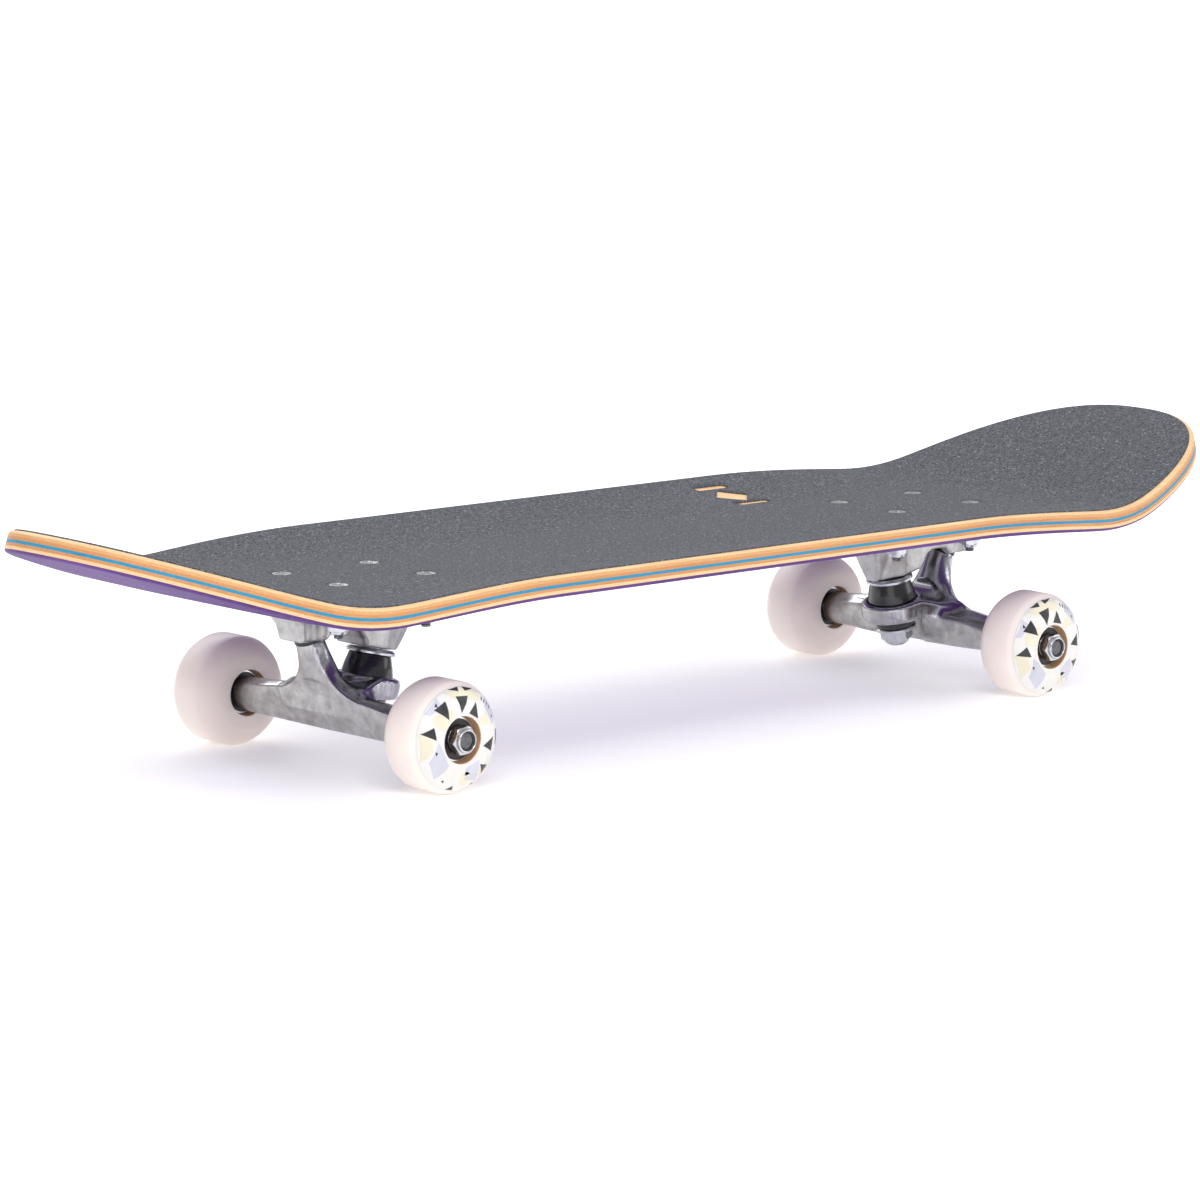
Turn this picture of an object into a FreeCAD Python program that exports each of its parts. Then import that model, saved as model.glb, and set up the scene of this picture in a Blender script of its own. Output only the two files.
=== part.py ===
"""Complete skateboard: a seven-ply deck with griptape, two trucks and four wheels on ball bearings.

Frame: millimetres, +Z up, the ground at Z = 0, the origin midway between the trucks.
+X points to the nose, +Y to the rider's left.  The front truck is at +X, the rear one at -X.
A truck is modelled in its own frame, with its origin on the ground under the middle of its four
bolts, +X outboard (to the nearer end of the deck).  A wheel is modelled about its own centre,
with +Y pointing out of its outer face.
"""
import FreeCAD
import Part
import Sketcher
import math
import os

Vector = FreeCAD.Vector
Rotation = FreeCAD.Rotation
Placement = FreeCAD.Placement
DOC = FreeCAD.newDocument("skateboard")

# ---------------------------------------------------------------- driving dimensions

DIMENSIONS = {
    # deck, measured along its surface
    "deck_half_length": 372.0,
    "deck_half_width": 96.5,
    "shoulder": 177.0,
    "kick_start": 233.0,
    "kick_bend_radius": 140.0,
    "kick_angle": 17.8,
    "outline_power": 2.45,
    "edge_rise": 8.1,
    "flat_half_width": 30.0,
    "concave_fade_start": 140.0,
    "concave_fade_end": 305.0,
    "ply_thickness": 1.5,
    "ply_count": 7,
    "grip_thickness": 0.8,
    "rest_length": 260.0,
    "rest_width": 50.0,
    "deck_bottom": 79.7,
    # fasteners through the deck
    "bolt_spacing_long": 54.0,
    "bolt_spacing_wide": 41.3,
    "bolt_diameter": 4.8,
    "bolt_hole_diameter": 5.4,
    "bolt_head_diameter": 9.4,
    "bolt_head_depth": 2.6,
    "bolt_reach": 25.4,
    "bolt_nut_width": 9.5,
    "bolt_nut_depth": 6.0,
    "cross_slot_length": 5.2,
    "cross_slot_width": 1.1,
    "cross_slot_depth": 1.6,
    # truck
    "truck_spacing": 372.4,
    "axle_offset": 13.2,
    "axle_diameter": 7.94,
    "axle_length": 190.6,
    "hanger_length": 128.4,
    "hanger_end_diameter": 15.0,
    "hanger_mid_diameter": 17.4,
    "web_lean": 20.0,
    "web_thickness": 10.0,
    "web_fillet_radius": 24.0,
    "web_neck_half_width": 6.8,
    "flange_length": 80.0,
    "flange_width": 56.0,
    "flange_thickness": 6.0,
    "block_depth": 25.4,
    "kingpin_diameter": 9.5,
    "kingpin_lean": 12.0,
    "kingpin_inset": 16.3,
    "kingpin_head_width": 14.3,
    "kingpin_nut_width": 14.3,
    "kingpin_nut_depth": 7.0,
    "cup_washer_diameter": 24.0,
    "flat_washer_diameter": 21.0,
    "washer_thickness": 2.0,
    "bushing_end_diameter": 20.0,
    "board_bushing_diameter": 26.0,
    "road_bushing_diameter": 23.2,
    "bushing_gap": 0.3,
    "ring_diameter": 33.0,
    "ring_height": 10.4,
    "ring_bore_diameter": 15.6,
    "ring_seat_depth": 2.0,
    "nut_room_diameter": 27.2,
    "pivot_out": 29.5,
    "pivot_height": 67.5,
    "pivot_ball_diameter": 10.0,
    "pivot_cup_wall": 2.2,
    "pivot_lean": 24.0,
    # wheel and bearings
    "wheel_diameter": 53.0,
    "wheel_width": 32.0,
    "tread_width": 14.4,
    "face_radius": 17.0,
    "lip_radius": 13.5,
    "wheel_offset": 77.2,
    "bearing_bore": 8.0,
    "bearing_outside": 22.0,
    "bearing_width": 7.0,
    "bearing_spread": 10.0,
    "ball_diameter": 3.96,
    "ball_circle": 15.0,
    "ball_count": 7,
    "inner_race_diameter": 11.6,
    "outer_race_bore": 18.2,
    "shield_seat_diameter": 19.4,
    "shield_bore": 12.4,
    "shield_thickness": 0.4,
    "shield_inset": 0.2,
    "cage_outside": 16.4,
    "cage_inside": 13.6,
    "cage_height": 4.7,
    "hub_rib_diameter": 18.8,
    "spacer_diameter": 10.4,
    "speed_washer_diameter": 11.2,
    "speed_washer_thickness": 1.0,
    "axle_nut_width": 12.7,
    "axle_nut_depth": 6.4,
    "running_gap": 0.04,
}

sheet = DOC.addObject("Spreadsheet::Sheet", "Dims")
for row, (alias, value) in enumerate(DIMENSIONS.items(), start=1):
    sheet.set(f"A{row}", alias)
    sheet.set(f"B{row}", str(value))
    sheet.setAlias(f"B{row}", alias)
DOC.recompute()


class Size:
    """A number with the sheet expression that it comes from."""

    def __init__(self, value, text):
        self.value = float(value)
        self.text = text

    def __float__(self):
        return self.value

    def __neg__(self):
        return Size(-self.value, f"(-1 * {self.text})")

    def __add__(self, other):
        return Size(self.value + float(other), f"({self.text} + {as_text(other)})")

    def __sub__(self, other):
        return Size(self.value - float(other), f"({self.text} - {as_text(other)})")

    def __mul__(self, other):
        return Size(self.value * float(other), f"({self.text} * {as_text(other)})")

    def __truediv__(self, other):
        return Size(self.value / float(other), f"({self.text} / {as_text(other)})")


def as_text(size):
    return size.text if isinstance(size, Size) else f"({float(size)!r})"


def dim(alias):
    """The named cell of the sheet."""
    return Size(sheet.get(alias), f"Dims.{alias}")


def bind(thing, **sizes):
    for prop, size in sizes.items():
        if isinstance(size, Size):
            thing.setExpression(prop, size.text)
        else:
            setattr(thing, prop, size)


# ---------------------------------------------------------------- primitives and booleans

ALONG = {
    "+Z": Rotation(),
    "-Z": Rotation(Vector(1, 0, 0), 180),
    "+Y": Rotation(Vector(1, 0, 0), -90),
    "-Y": Rotation(Vector(1, 0, 0), 90),
}
sub_parts = []


def place(x=0.0, y=0.0, z=0.0, rotation=None):
    return Placement(Vector(float(x), float(y), float(z)), rotation or Rotation())


def add(kind, label, at, **sizes):
    thing = DOC.addObject(kind, label)
    thing.Label = label
    bind(thing, **sizes)
    thing.Placement = at
    return thing


def cylinder(label, radius, height, at=Placement()):
    return add("Part::Cylinder", label, at, Radius=radius, Height=height)


def cone(label, bottom, top, height, at=Placement()):
    return add("Part::Cone", label, at, Radius1=bottom, Radius2=top, Height=height)


def sphere(label, radius, at=Placement()):
    return add("Part::Sphere", label, at, Radius=radius)


def hexagon(label, width, height, at=Placement()):
    """A hexagonal bar, its width measured across the flats."""
    return add("Part::Prism", label, at, Polygon=6, Circumradius=width / math.sqrt(3), Height=height)


def fuse(label, *pieces):
    joined = DOC.addObject("Part::MultiFuse", label)
    joined.Label = label
    joined.Shapes = list(pieces)
    joined.Refine = True
    return joined


def cut(label, base, tool):
    result = DOC.addObject("Part::Cut", label)
    result.Label = label
    result.Base = base
    result.Tool = tool
    return result


def common(label, base, tool):
    result = DOC.addObject("Part::Common", label)
    result.Label = label
    result.Base = base
    result.Tool = tool
    return result


def group(label, pieces):
    """Separate solids of one kind that share a node."""
    compound = DOC.addObject("Part::Compound", label)
    compound.Label = label
    compound.Links = list(pieces)
    return compound


def tube(label, outer, inner, height, at=Placement()):
    hole = cylinder(label + "_hole", inner, height + 2.0, place(0, 0, -1.0))
    ring = cut(label, cylinder(label + "_bar", outer, height), hole)
    ring.Placement = at
    return ring


def keep(thing, label, at=None):
    """Marks a finished sub-part and gives it its name and place."""
    thing.Label = label
    if at is not None:
        thing.Placement = at
    sub_parts.append(thing)
    return thing


# ---------------------------------------------------------------- sketches


def sketch_on(body, plane_role, name):
    plane = next(item for item in body.Origin.OriginFeatures if item.Role == plane_role)
    sketch = body.newObject("Sketcher::SketchObject", name)
    sketch.AttachmentSupport = [(plane, "")]
    sketch.MapMode = "FlatFace"
    return sketch


def arc_between(start, end, radius):
    """The shorter arc from start to end; a positive radius bulges to the right of the way there."""
    chord = end - start
    half = chord.Length / 2
    side = Vector(-chord.y, chord.x, 0).normalize()
    rise = math.sqrt(radius * radius - half * half)
    centre = (start + end) * 0.5 + side * math.copysign(rise, radius)
    first, second = (start, end) if radius > 0 else (end, start)
    circle = Part.Circle(centre, Vector(0, 0, 1), abs(radius))
    angles = [math.atan2(point.y - centre.y, point.x - centre.x) for point in (first, second)]
    return Part.ArcOfCircle(circle, angles[0], angles[1])


def draw(sketch, corners):
    """Draws a closed outline. A corner is (x, y), or (x, y, radius) where an arc leads to the next."""
    points = [Vector(float(corner[0]), float(corner[1]), 0) for corner in corners]
    ends = []
    for index, corner in enumerate(corners):
        start, end = points[index], points[(index + 1) % len(points)]
        if len(corner) == 3:
            radius = corner[2]
            geometry = sketch.addGeometry(arc_between(start, end, float(radius)), False)
            number = sketch.addConstraint(Sketcher.Constraint("Radius", geometry, abs(float(radius))))
            if isinstance(radius, Size):
                length = radius if radius.value > 0 else -radius
                sketch.setExpression(f"Constraints[{number}]", length.text)
            ends.append((geometry, 1, 2) if float(radius) > 0 else (geometry, 2, 1))
        else:
            ends.append((sketch.addGeometry(Part.LineSegment(start, end), False), 1, 2))
    for index, corner in enumerate(corners):
        geometry, first, last = ends[index]
        following = ends[(index + 1) % len(ends)]
        sketch.addConstraint(Sketcher.Constraint("Coincident", geometry, last, following[0], following[1]))
        for kind, size in (("DistanceX", corner[0]), ("DistanceY", corner[1])):
            number = sketch.addConstraint(Sketcher.Constraint(kind, -1, 1, geometry, first, float(size)))
            if isinstance(size, Size):
                sketch.setExpression(f"Constraints[{number}]", size.text)


def turned(label, outline, at=Placement()):
    """A solid of revolution about the body's own Z axis; the outline is (radius, height) pairs."""
    body = DOC.addObject("PartDesign::Body", label)
    profile = sketch_on(body, "XZ_Plane", label + "_profile")
    draw(profile, outline)
    revolution = body.newObject("PartDesign::Revolution", label + "_turning")
    revolution.Profile = profile
    revolution.ReferenceAxis = (profile, ["V_Axis"])
    revolution.Angle = 360.0
    body.Placement = at
    return body


def padded(label, plane_role, outline, length, at=Placement()):
    """A sketch on one of the body's own planes, padded by the length to both sides of it."""
    body = DOC.addObject("PartDesign::Body", label)
    profile = sketch_on(body, plane_role, label + "_outline")
    draw(profile, outline)
    pad = body.newObject("PartDesign::Pad", label + "_pad")
    pad.Profile = profile
    pad.Midplane = True
    bind(pad, Length=length)
    body.Placement = at
    return body


# ---------------------------------------------------------------- deck surface

half_length = float(dim("deck_half_length"))
half_width = float(dim("deck_half_width"))
shoulder = float(dim("shoulder"))
kick_start = float(dim("kick_start"))
bend_radius = float(dim("kick_bend_radius"))
kick_angle = math.radians(float(dim("kick_angle")))
flat_half_width = float(dim("flat_half_width"))
fade_start = float(dim("concave_fade_start"))
fade_end = float(dim("concave_fade_end"))
ply_thickness = float(dim("ply_thickness"))
ply_count = int(float(dim("ply_count")))
wood_top = float(dim("deck_bottom")) + ply_count * ply_thickness
grip_top = wood_top + float(dim("grip_thickness"))
GRIT = 0.02     # how far the griptape's grit stands above its flat resting area


def centre_line(along):
    """The place (x, z) and the slope of the deck's top at a distance along its surface."""
    beyond = abs(along) - kick_start
    if beyond <= 0:
        return along, 0.0, 0.0
    bend = min(beyond / bend_radius, kick_angle)
    straight = max(beyond - bend_radius * kick_angle, 0.0)
    x = kick_start + bend_radius * math.sin(bend) + straight * math.cos(kick_angle)
    z = bend_radius * (1 - math.cos(bend)) + straight * math.sin(kick_angle)
    return math.copysign(x, along), z, math.copysign(bend, along)


def concave(along, across):
    """How far the deck's edges rise above its middle: nothing at the tips, all of it at the waist."""
    spread = max(abs(across) - flat_half_width, 0.0) / (half_width - flat_half_width)
    fade = min(max((abs(along) - fade_start) / (fade_end - fade_start), 0.0), 1.0)
    return float(dim("edge_rise")) * spread**2 * (1 - fade * fade * (3 - 2 * fade))


def deck_point(along, across, depth):
    """A point of the deck, depth below the top of its wood, square to the surface."""
    x, z, slope = centre_line(along)
    rise = concave(along, across) - depth
    return Vector(x - rise * math.sin(slope), across, wood_top + z + rise * math.cos(slope))


def half_outline(along):
    """Half the deck's width at a distance along its surface."""
    reach = max(abs(along) - shoulder, 0.0) / (half_length - shoulder)
    power = float(dim("outline_power"))
    return half_width * (1 - min(reach, 1.0) ** power) ** (1 / power)


def deck_surface(depth, margin=14.0, step=14.0):
    """A smooth cubic surface over the deck's whole rectangle, at a depth in the wood."""
    rows = int(2 * (half_length + margin) / step)
    columns = int(2 * (half_width + margin) / step)
    poles = []
    for row in range(rows + 1):
        along = (half_length + margin) * (2 * row / rows - 1)
        poles.append([
            deck_point(along, (half_width + margin) * (2 * column / columns - 1), depth)
            for column in range(columns + 1)
        ])
    surface = Part.BSplineSurface()

    def knots(count):
        inner = count - 3
        return [4] + [1] * (inner - 1) + [4], [float(number) for number in range(inner + 1)]

    u_multiplicities, u_knots = knots(rows + 1)
    v_multiplicities, v_knots = knots(columns + 1)
    surface.buildFromPolesMultsKnots(
        poles, u_multiplicities, v_multiplicities, u_knots, v_knots, False, False, 3, 3)
    return surface


def slab_between(top, bottom):
    """A rectangular slab between two surfaces of the same grid."""
    faces = [top.toShape(), bottom.toShape()]
    for upper, lower in zip(faces[0].Edges, faces[1].Edges):
        faces.append(Part.makeRuledSurface(upper, lower))
    shell = Part.makeShell(faces)
    shell.sewShape()
    solid = Part.makeSolid(Part.makeShell(shell.Faces))
    solid.fix(0.001, 0.001, 0.001)
    return solid


def square_to_deck(along, across, height):
    """Where the line square to the deck at one of its points passes a height."""
    foot = deck_point(along, across, 0.0)
    slope = centre_line(along)[2]
    reach = (height - foot.z) / math.cos(slope)
    return Vector(foot.x - reach * math.sin(slope), across, height)


def outline_ring(height, steps=14):
    """The deck's outline carried square to its surface to a height: two long sides and four corners."""
    def edge(stations, end, side, backwards):
        points = [square_to_deck(end * along, side * half_outline(along), height) for along in stations]
        curve = Part.BSplineCurve()
        curve.interpolate(points[::-1] if backwards else points)
        return curve.toShape()

    waist = [shoulder * (2 * number / steps - 1) for number in range(steps + 1)]
    tip = half_length - shoulder
    corner = [shoulder + tip * math.sin(math.pi / 2 * number / steps) for number in range(steps + 1)]
    return Part.Wire([
        edge(waist, 1, -1, False), edge(corner, 1, -1, False), edge(corner, 1, 1, True),
        edge(waist, 1, 1, True), edge(corner, -1, 1, False), edge(corner, -1, -1, True),
    ])


def outline_cutter():
    """A solid whose walls stand square to the deck's surface all round its outline."""
    return Part.makeLoft([outline_ring(wood_top - 30.0), outline_ring(wood_top + 70.0)], True, True)


def surface_solid(label, shape):
    feature = DOC.addObject("Part::Feature", label)
    feature.Label = label
    feature.Shape = shape
    return feature


def make_deck():
    """Seven plies and the griptape, drilled for the eight bolts."""
    depths = [-float(dim("grip_thickness")) - GRIT]
    depths += [ply_thickness * number for number in range(ply_count + 1)]
    surfaces = [deck_surface(depth) for depth in depths]
    cutter = surface_solid("deck_outline", outline_cutter())
    names = ["griptape"] + [f"deck_ply_{number}" for number in range(1, ply_count + 1)]
    for number, name in enumerate(names):
        slab = surface_solid(name + "_slab", slab_between(surfaces[number], surfaces[number + 1]))
        blank = common(name + "_blank", slab, cutter)
        tools = list(bolt_drills(name, bolt_room(max(grip_top - wood_top + depths[number], 0.0))))
        if name == "griptape":
            tools.append(resting_area())
        keep(cut(name, blank, fuse(name + "_tools", *tools)), name)


def resting_area():
    """The tool that levels the middle of the griptape, where the board rests when it lies upside down."""
    length, width = dim("rest_length"), dim("rest_width")
    corner = place(-length.value / 2, -width.value / 2, grip_top)
    return add("Part::Box", "resting_area", corner, Length=length, Width=width, Height=5.0)


BOLT_HEAD_RIM = 0.4


def bolt_pattern():
    """The four bolts of one truck, about their middle."""
    for inboard in (1, -1):
        for side in (1, -1):
            yield inboard * float(dim("bolt_spacing_long")) / 2, side * float(dim("bolt_spacing_wide")) / 2


def bolt_places():
    """The middle of every bolt head: four over each truck."""
    for end in (1, -1):
        for x, y in bolt_pattern():
            yield end * float(dim("truck_spacing")) / 2 + x, y


def bolt_room(depth):
    """The radius of a hole that clears the bolts from a depth under the tops of their heads."""
    gap = 0.1
    shank, head = float(dim("bolt_diameter")) / 2, float(dim("bolt_head_diameter")) / 2
    taper = (head - shank) / (float(dim("bolt_head_depth")) - BOLT_HEAD_RIM)
    head_here = min(head, head - (depth - BOLT_HEAD_RIM) * taper)
    return max(float(dim("bolt_hole_diameter")) / 2, head_here + gap)


def bolt_drills(owner, radius):
    """Straight holes for the bolts; they step down from layer to layer under the heads."""
    for number, (x, y) in enumerate(bolt_places(), start=1):
        yield cylinder(f"{owner}_hole_{number}", radius, 40.0, place(x, y, wood_top - 30.0))


# ---------------------------------------------------------------- deck bolts


def cross_slot(label, x, y, turn):
    """One of the two slots of a cross recess in a bolt's head."""
    length, width, depth = dim("cross_slot_length"), dim("cross_slot_width"), dim("cross_slot_depth")
    turned_round = Rotation(Vector(0, 0, 1), turn)
    corner = turned_round.multVec(Vector(-length.value / 2, -width.value / 2, -depth.value))
    at = Placement(Vector(x, y, grip_top) + corner, turned_round)
    return add("Part::Box", label, at, Length=length, Width=width, Height=depth + 1.0)


def make_deck_bolts():
    """Eight countersunk cross-head bolts and their lock nuts."""
    shank = dim("bolt_diameter") / 2
    head = dim("bolt_head_diameter") / 2
    depth = dim("bolt_head_depth")
    reach = dim("bolt_reach")
    nut_depth = dim("bolt_nut_depth")
    nut_top = float(dim("deck_bottom") - dim("flange_thickness"))
    bolts, nuts = [], []
    for number, (x, y) in enumerate(bolt_places(), start=1):
        name = f"deck_bolt_{number}"
        outline = [
            (0.0, 0.0), (head, 0.0), (head, -BOLT_HEAD_RIM), (shank, -depth), (shank, -reach), (0.0, -reach),
        ]
        blank = turned(name + "_blank", outline, place(x, y, grip_top))
        slots = [cross_slot(f"{name}_slot_{turn}", x, y, turn) for turn in (0, 90)]
        bolts.append(cut(name, blank, fuse(name + "_cross", *slots)))
        nut = cut(
            f"deck_nut_{number}",
            hexagon(f"{name}_hex", dim("bolt_nut_width"), nut_depth),
            cylinder(f"{name}_thread", shank + 0.02, nut_depth + 2.0, place(0, 0, -1.0)),
        )
        nut.Placement = place(x, y, nut_top - float(nut_depth))
        nuts.append(nut)
    keep(group("deck_bolts", bolts), "deck_bolts")
    keep(group("deck_nuts", nuts), "deck_nuts")


# ---------------------------------------------------------------- trucks

kingpin_lean = float(dim("kingpin_lean"))
kingpin_down = Rotation(Vector(0, 1, 0), 180 - kingpin_lean)
kingpin_foot = place(-dim("kingpin_inset"), 0, dim("deck_bottom"), kingpin_down)
pivot_centre = Vector(float(dim("pivot_out")), 0, float(dim("pivot_height")))
pivot_tilt = Rotation(Vector(0, 1, 0), float(dim("pivot_lean")))

# distances down the kingpin from the underside of the deck
BLOCK_END = dim("block_depth") + 0.6
CUP_WASHER_RIM = 0.5
CUP_WASHER_END = BLOCK_END + dim("washer_thickness") + CUP_WASHER_RIM
RING_TOP = CUP_WASHER_END + 10.2
RING_BOTTOM = RING_TOP + dim("ring_height")
SEAT_DEPTH = dim("ring_seat_depth")
ROAD_WASHER_TOP = RING_BOTTOM + 4.0
ROAD_WASHER_END = ROAD_WASHER_TOP + dim("washer_thickness")
KINGPIN_NUT_END = ROAD_WASHER_END + dim("kingpin_nut_depth")


def down_kingpin(distance=0.0):
    """A placement on the kingpin's axis, its +Z pointing down along it."""
    return kingpin_foot.multiply(place(0, 0, float(distance)))


def truck_frames():
    """Each truck's name and the placement of its frame: the rear truck is turned half round."""
    half = float(dim("truck_spacing") / 2)
    yield "front", place(half, 0, 0)
    yield "rear", place(-half, 0, 0, Rotation(Vector(0, 0, 1), 180))


def make_baseplate(name):
    """Cast baseplate: a bolted flange over a kingpin block, an arch and a pivot block."""
    top = dim("deck_bottom")
    under = top - dim("flange_thickness")
    half_flange = dim("flange_length") / 2
    flange = padded(name + "_flange", "XZ_Plane", [
        (-half_flange, top), (-half_flange, under + 1.5), (-half_flange + 3.0, under),
        (half_flange - 2.0, under), (half_flange + 1.0, under + 1.5), (half_flange + 1.0, top),
    ], dim("flange_width"))
    overlap = 1.0
    cup = pivot_cup_radius() + 0.02
    side_view = padded(name + "_side_view", "XZ_Plane", [
        (-33.0, under + overlap), (-24.0, top - dim("block_depth")),
        (-12.0, top - dim("block_depth") + 2.6, 14.0), (6.0, 66.5, -16.0), (20.0, 66.0), (24.0, 62.4),
        (39.0, 62.4), (41.5, under + overlap),
    ], 30.0)
    plan = surface_solid(name + "_taper", Part.makeLoft([
        level_polygon(under.value + overlap, [(-33, 9), (-20, 14.5), (0, 13.5), (20, 11.5), (42, 11)]),
        level_polygon(52.0, [(-22, 4.5), (-11, 11.5), (0, 11), (20, 8.5), (38, 7)]),
    ], True, True))
    blank = fuse(name + "_blank", flange, common(name + "_block", side_view, plan))
    tools = [
        cylinder(name + "_kingpin_hole", dim("kingpin_diameter") / 2 + 0.03, 60.0, down_kingpin(-12.0)),
        hexagon(name + "_head_pocket", dim("kingpin_head_width") + 0.3, 12.0, down_kingpin(-4.4)),
        turned(name + "_cup_hole", [
            (0.0, -22.0), (cup, -22.0), (cup, 0.0, cup), (0.0, cup),
        ], pivot_frame()),
    ]
    tools += [
        cylinder(f"{name}_bolt_hole_{number}", dim("bolt_hole_diameter") / 2, 20.0, place(x, y, 66.0))
        for number, (x, y) in enumerate(bolt_pattern(), start=1)
    ]
    tools += nut_seats(name, under)
    return cut(name, blank, fuse(name + "_tools", *tools))


def nut_seats(name, under):
    """Room for a socket around each deck nut, where the blocks' sides would be in its way."""
    seat = dim("bolt_nut_width") / 2 + 2.0
    depth = 14.0
    return [
        cylinder(f"{name}_nut_seat_{number}", seat, depth, place(x, y, under.value - depth))
        for number, (x, y) in enumerate(bolt_pattern(), start=1)
    ]


def level_polygon(height, half_points):
    """A closed polygon at a height, mirrored about the XZ plane."""
    points = [Vector(x, -y, height) for x, y in half_points]
    points += [Vector(x, y, height) for x, y in reversed(half_points)]
    return Part.makePolygon(points + points[:1])


def pivot_cup_radius():
    return dim("pivot_ball_diameter") / 2 + dim("running_gap") + dim("pivot_cup_wall")


def pivot_frame(height=0.0):
    """A placement on the pivot's own axis, which leans outboard; +Z points up into the cup."""
    return Placement(pivot_centre, pivot_tilt).multiply(place(0, 0, height))


def make_pivot_cup(name):
    """Urethane cup that the hanger's pivot turns in, with a flared mouth."""
    ball = dim("pivot_ball_diameter") / 2 + dim("running_gap")
    shell = pivot_cup_radius()
    mouth = -5.4
    return turned(name, [
        (0.0, ball, -ball), (ball, 0.0), (ball, mouth + 2.6), (ball + 1.4, mouth), (shell, mouth),
        (shell, 0.0, shell), (0.0, shell),
    ], pivot_frame())


def make_kingpin(name):
    """Kingpin bolt with its hexagonal head sunk into the baseplate, just under the deck."""
    above = 4.0
    past_nut = 1.2
    shank = cylinder(name + "_shank", dim("kingpin_diameter") / 2, KINGPIN_NUT_END + past_nut + above,
                     down_kingpin(-above))
    head = hexagon(name + "_head", dim("kingpin_head_width"), 7.4, down_kingpin())
    flush = add("Part::Box", name + "_flush", place(-60, -20, dim("deck_bottom") - 0.4),
                Length=80.0, Width=40.0, Height=10.0)
    return cut(name, fuse(name + "_blank", head, shank), flush)


def make_washer(name, diameter, start, rim=0.0):
    """Washer on the kingpin, flat, or pressed to a cup whose rim stands over the bushing."""
    outer = diameter / 2
    bore = dim("kingpin_diameter") / 2 + 0.15
    thick = dim("washer_thickness")
    if rim > 0:
        outline = [(bore, 0.0), (outer - 1.2, 0.0), (outer, 1.0), (outer, thick + rim),
                   (outer - 0.9, thick + rim), (outer - 1.6, thick), (bore, thick)]
    else:
        outline = [(bore, 0.0), (outer - 0.8, 0.0), (outer, 0.8), (outer, thick), (bore, thick)]
    return turned(name, outline, down_kingpin(start))


def make_bushing(name, start, end, first, last):
    """Urethane bushing, a cone round the kingpin with softened rims."""
    bore = dim("kingpin_diameter") / 2 + 0.2
    return turned(name, [
        (bore, 0.0), (first - 0.8, 0.0), (first, 0.8), (last, end - start - 0.8),
        (last - 0.8, end - start), (bore, end - start),
    ], down_kingpin(start))


def make_hanger(name):
    """Cast hanger: axle housing, leaning web with concave shoulders, bushing ring and pivot."""
    axle = (float(dim("axle_offset")), float(dim("wheel_diameter")) / 2)
    half = dim("hanger_length") / 2
    pieces = []
    for side, way in (("left", "+Y"), ("right", "-Y")):
        pieces.append(cone(
            f"{name}_{side}_arm", dim("hanger_mid_diameter") / 2, dim("hanger_end_diameter") / 2, half,
            place(axle[0], 0, axle[1], ALONG[way])))
    neck = dim("web_neck_half_width")
    radius = dim("web_fillet_radius")
    web = padded(name + "_web", "YZ_Plane", [
        (-44.0, -7.0), (44.0, -7.0), (44.0, 6.0),
        (neck + radius, 11.0, -(radius + 0.05)), (neck, radius + 11.0),
        (neck - 1.2, 35.0), (-neck + 1.2, 35.0), (-neck, radius + 11.0, -(radius + 0.05)),
        (-neck - radius, 11.0), (-44.0, 6.0),
    ], dim("web_thickness"), Placement(
        Vector(axle[0], 0, axle[1]), Rotation(Vector(0, 1, 0), float(dim("web_lean")))))
    pieces.append(web)
    pieces.append(cylinder(
        name + "_ring", dim("ring_diameter") / 2, dim("ring_height"), down_kingpin(RING_TOP)))
    pieces.append(add(
        "Part::Box", name + "_bridge", place(-6.0, -13.0, 30.0), Length=20.0, Width=26.0, Height=9.0))
    stem = float(dim("pivot_ball_diameter")) / 2
    pieces.append(cone(name + "_stem", 6.2, stem - 0.9, 17.0, pivot_frame(-18.0)))
    pieces.append(sphere(name + "_ball", dim("pivot_ball_diameter") / 2, place(*pivot_centre)))
    blank = fuse(name + "_blank", *pieces)
    gap = dim("bushing_gap")
    tools = [
        cylinder(name + "_ring_bore", dim("ring_bore_diameter") / 2, 30.0, down_kingpin(RING_TOP - 10.0)),
        cylinder(name + "_upper_seat", dim("board_bushing_diameter") / 2 + gap, 30.0,
                 down_kingpin(RING_TOP - 30.0 + SEAT_DEPTH)),
        cylinder(name + "_lower_seat", dim("road_bushing_diameter") / 2 + gap, 30.0,
                 down_kingpin(RING_BOTTOM - SEAT_DEPTH)),
        cylinder(name + "_nut_room", dim("nut_room_diameter") / 2, 30.0, down_kingpin(RING_BOTTOM)),
        cylinder(name + "_axle_bore", dim("axle_diameter") / 2 + 0.01, dim("hanger_length") + 10.0,
                 place(axle[0], -float(half) - 5.0, axle[1], ALONG["+Y"])),
    ]
    return cut(name, blank, fuse(name + "_tools", *tools))


def axle_stack():
    """Distances from the middle of the axle to the faces of the parts threaded on it."""
    half_pack = dim("bearing_width") + dim("bearing_spread") / 2
    inner = dim("wheel_offset") - half_pack
    outer = dim("wheel_offset") + half_pack
    return inner, outer


def make_axle_nut(name):
    """Lock nut: a hexagon with a round collar that holds the insert."""
    width = dim("axle_nut_width")
    depth = dim("axle_nut_depth")
    blank = fuse(
        name + "_blank",
        hexagon(name + "_hex", width, depth * 0.72),
        cylinder(name + "_collar", width / 2 - 0.9, depth),
    )
    thread = cylinder(name + "_thread", dim("axle_diameter") / 2 + 0.02, depth + 2.0, place(0, 0, -1.0))
    return cut(name, blank, thread)


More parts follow.
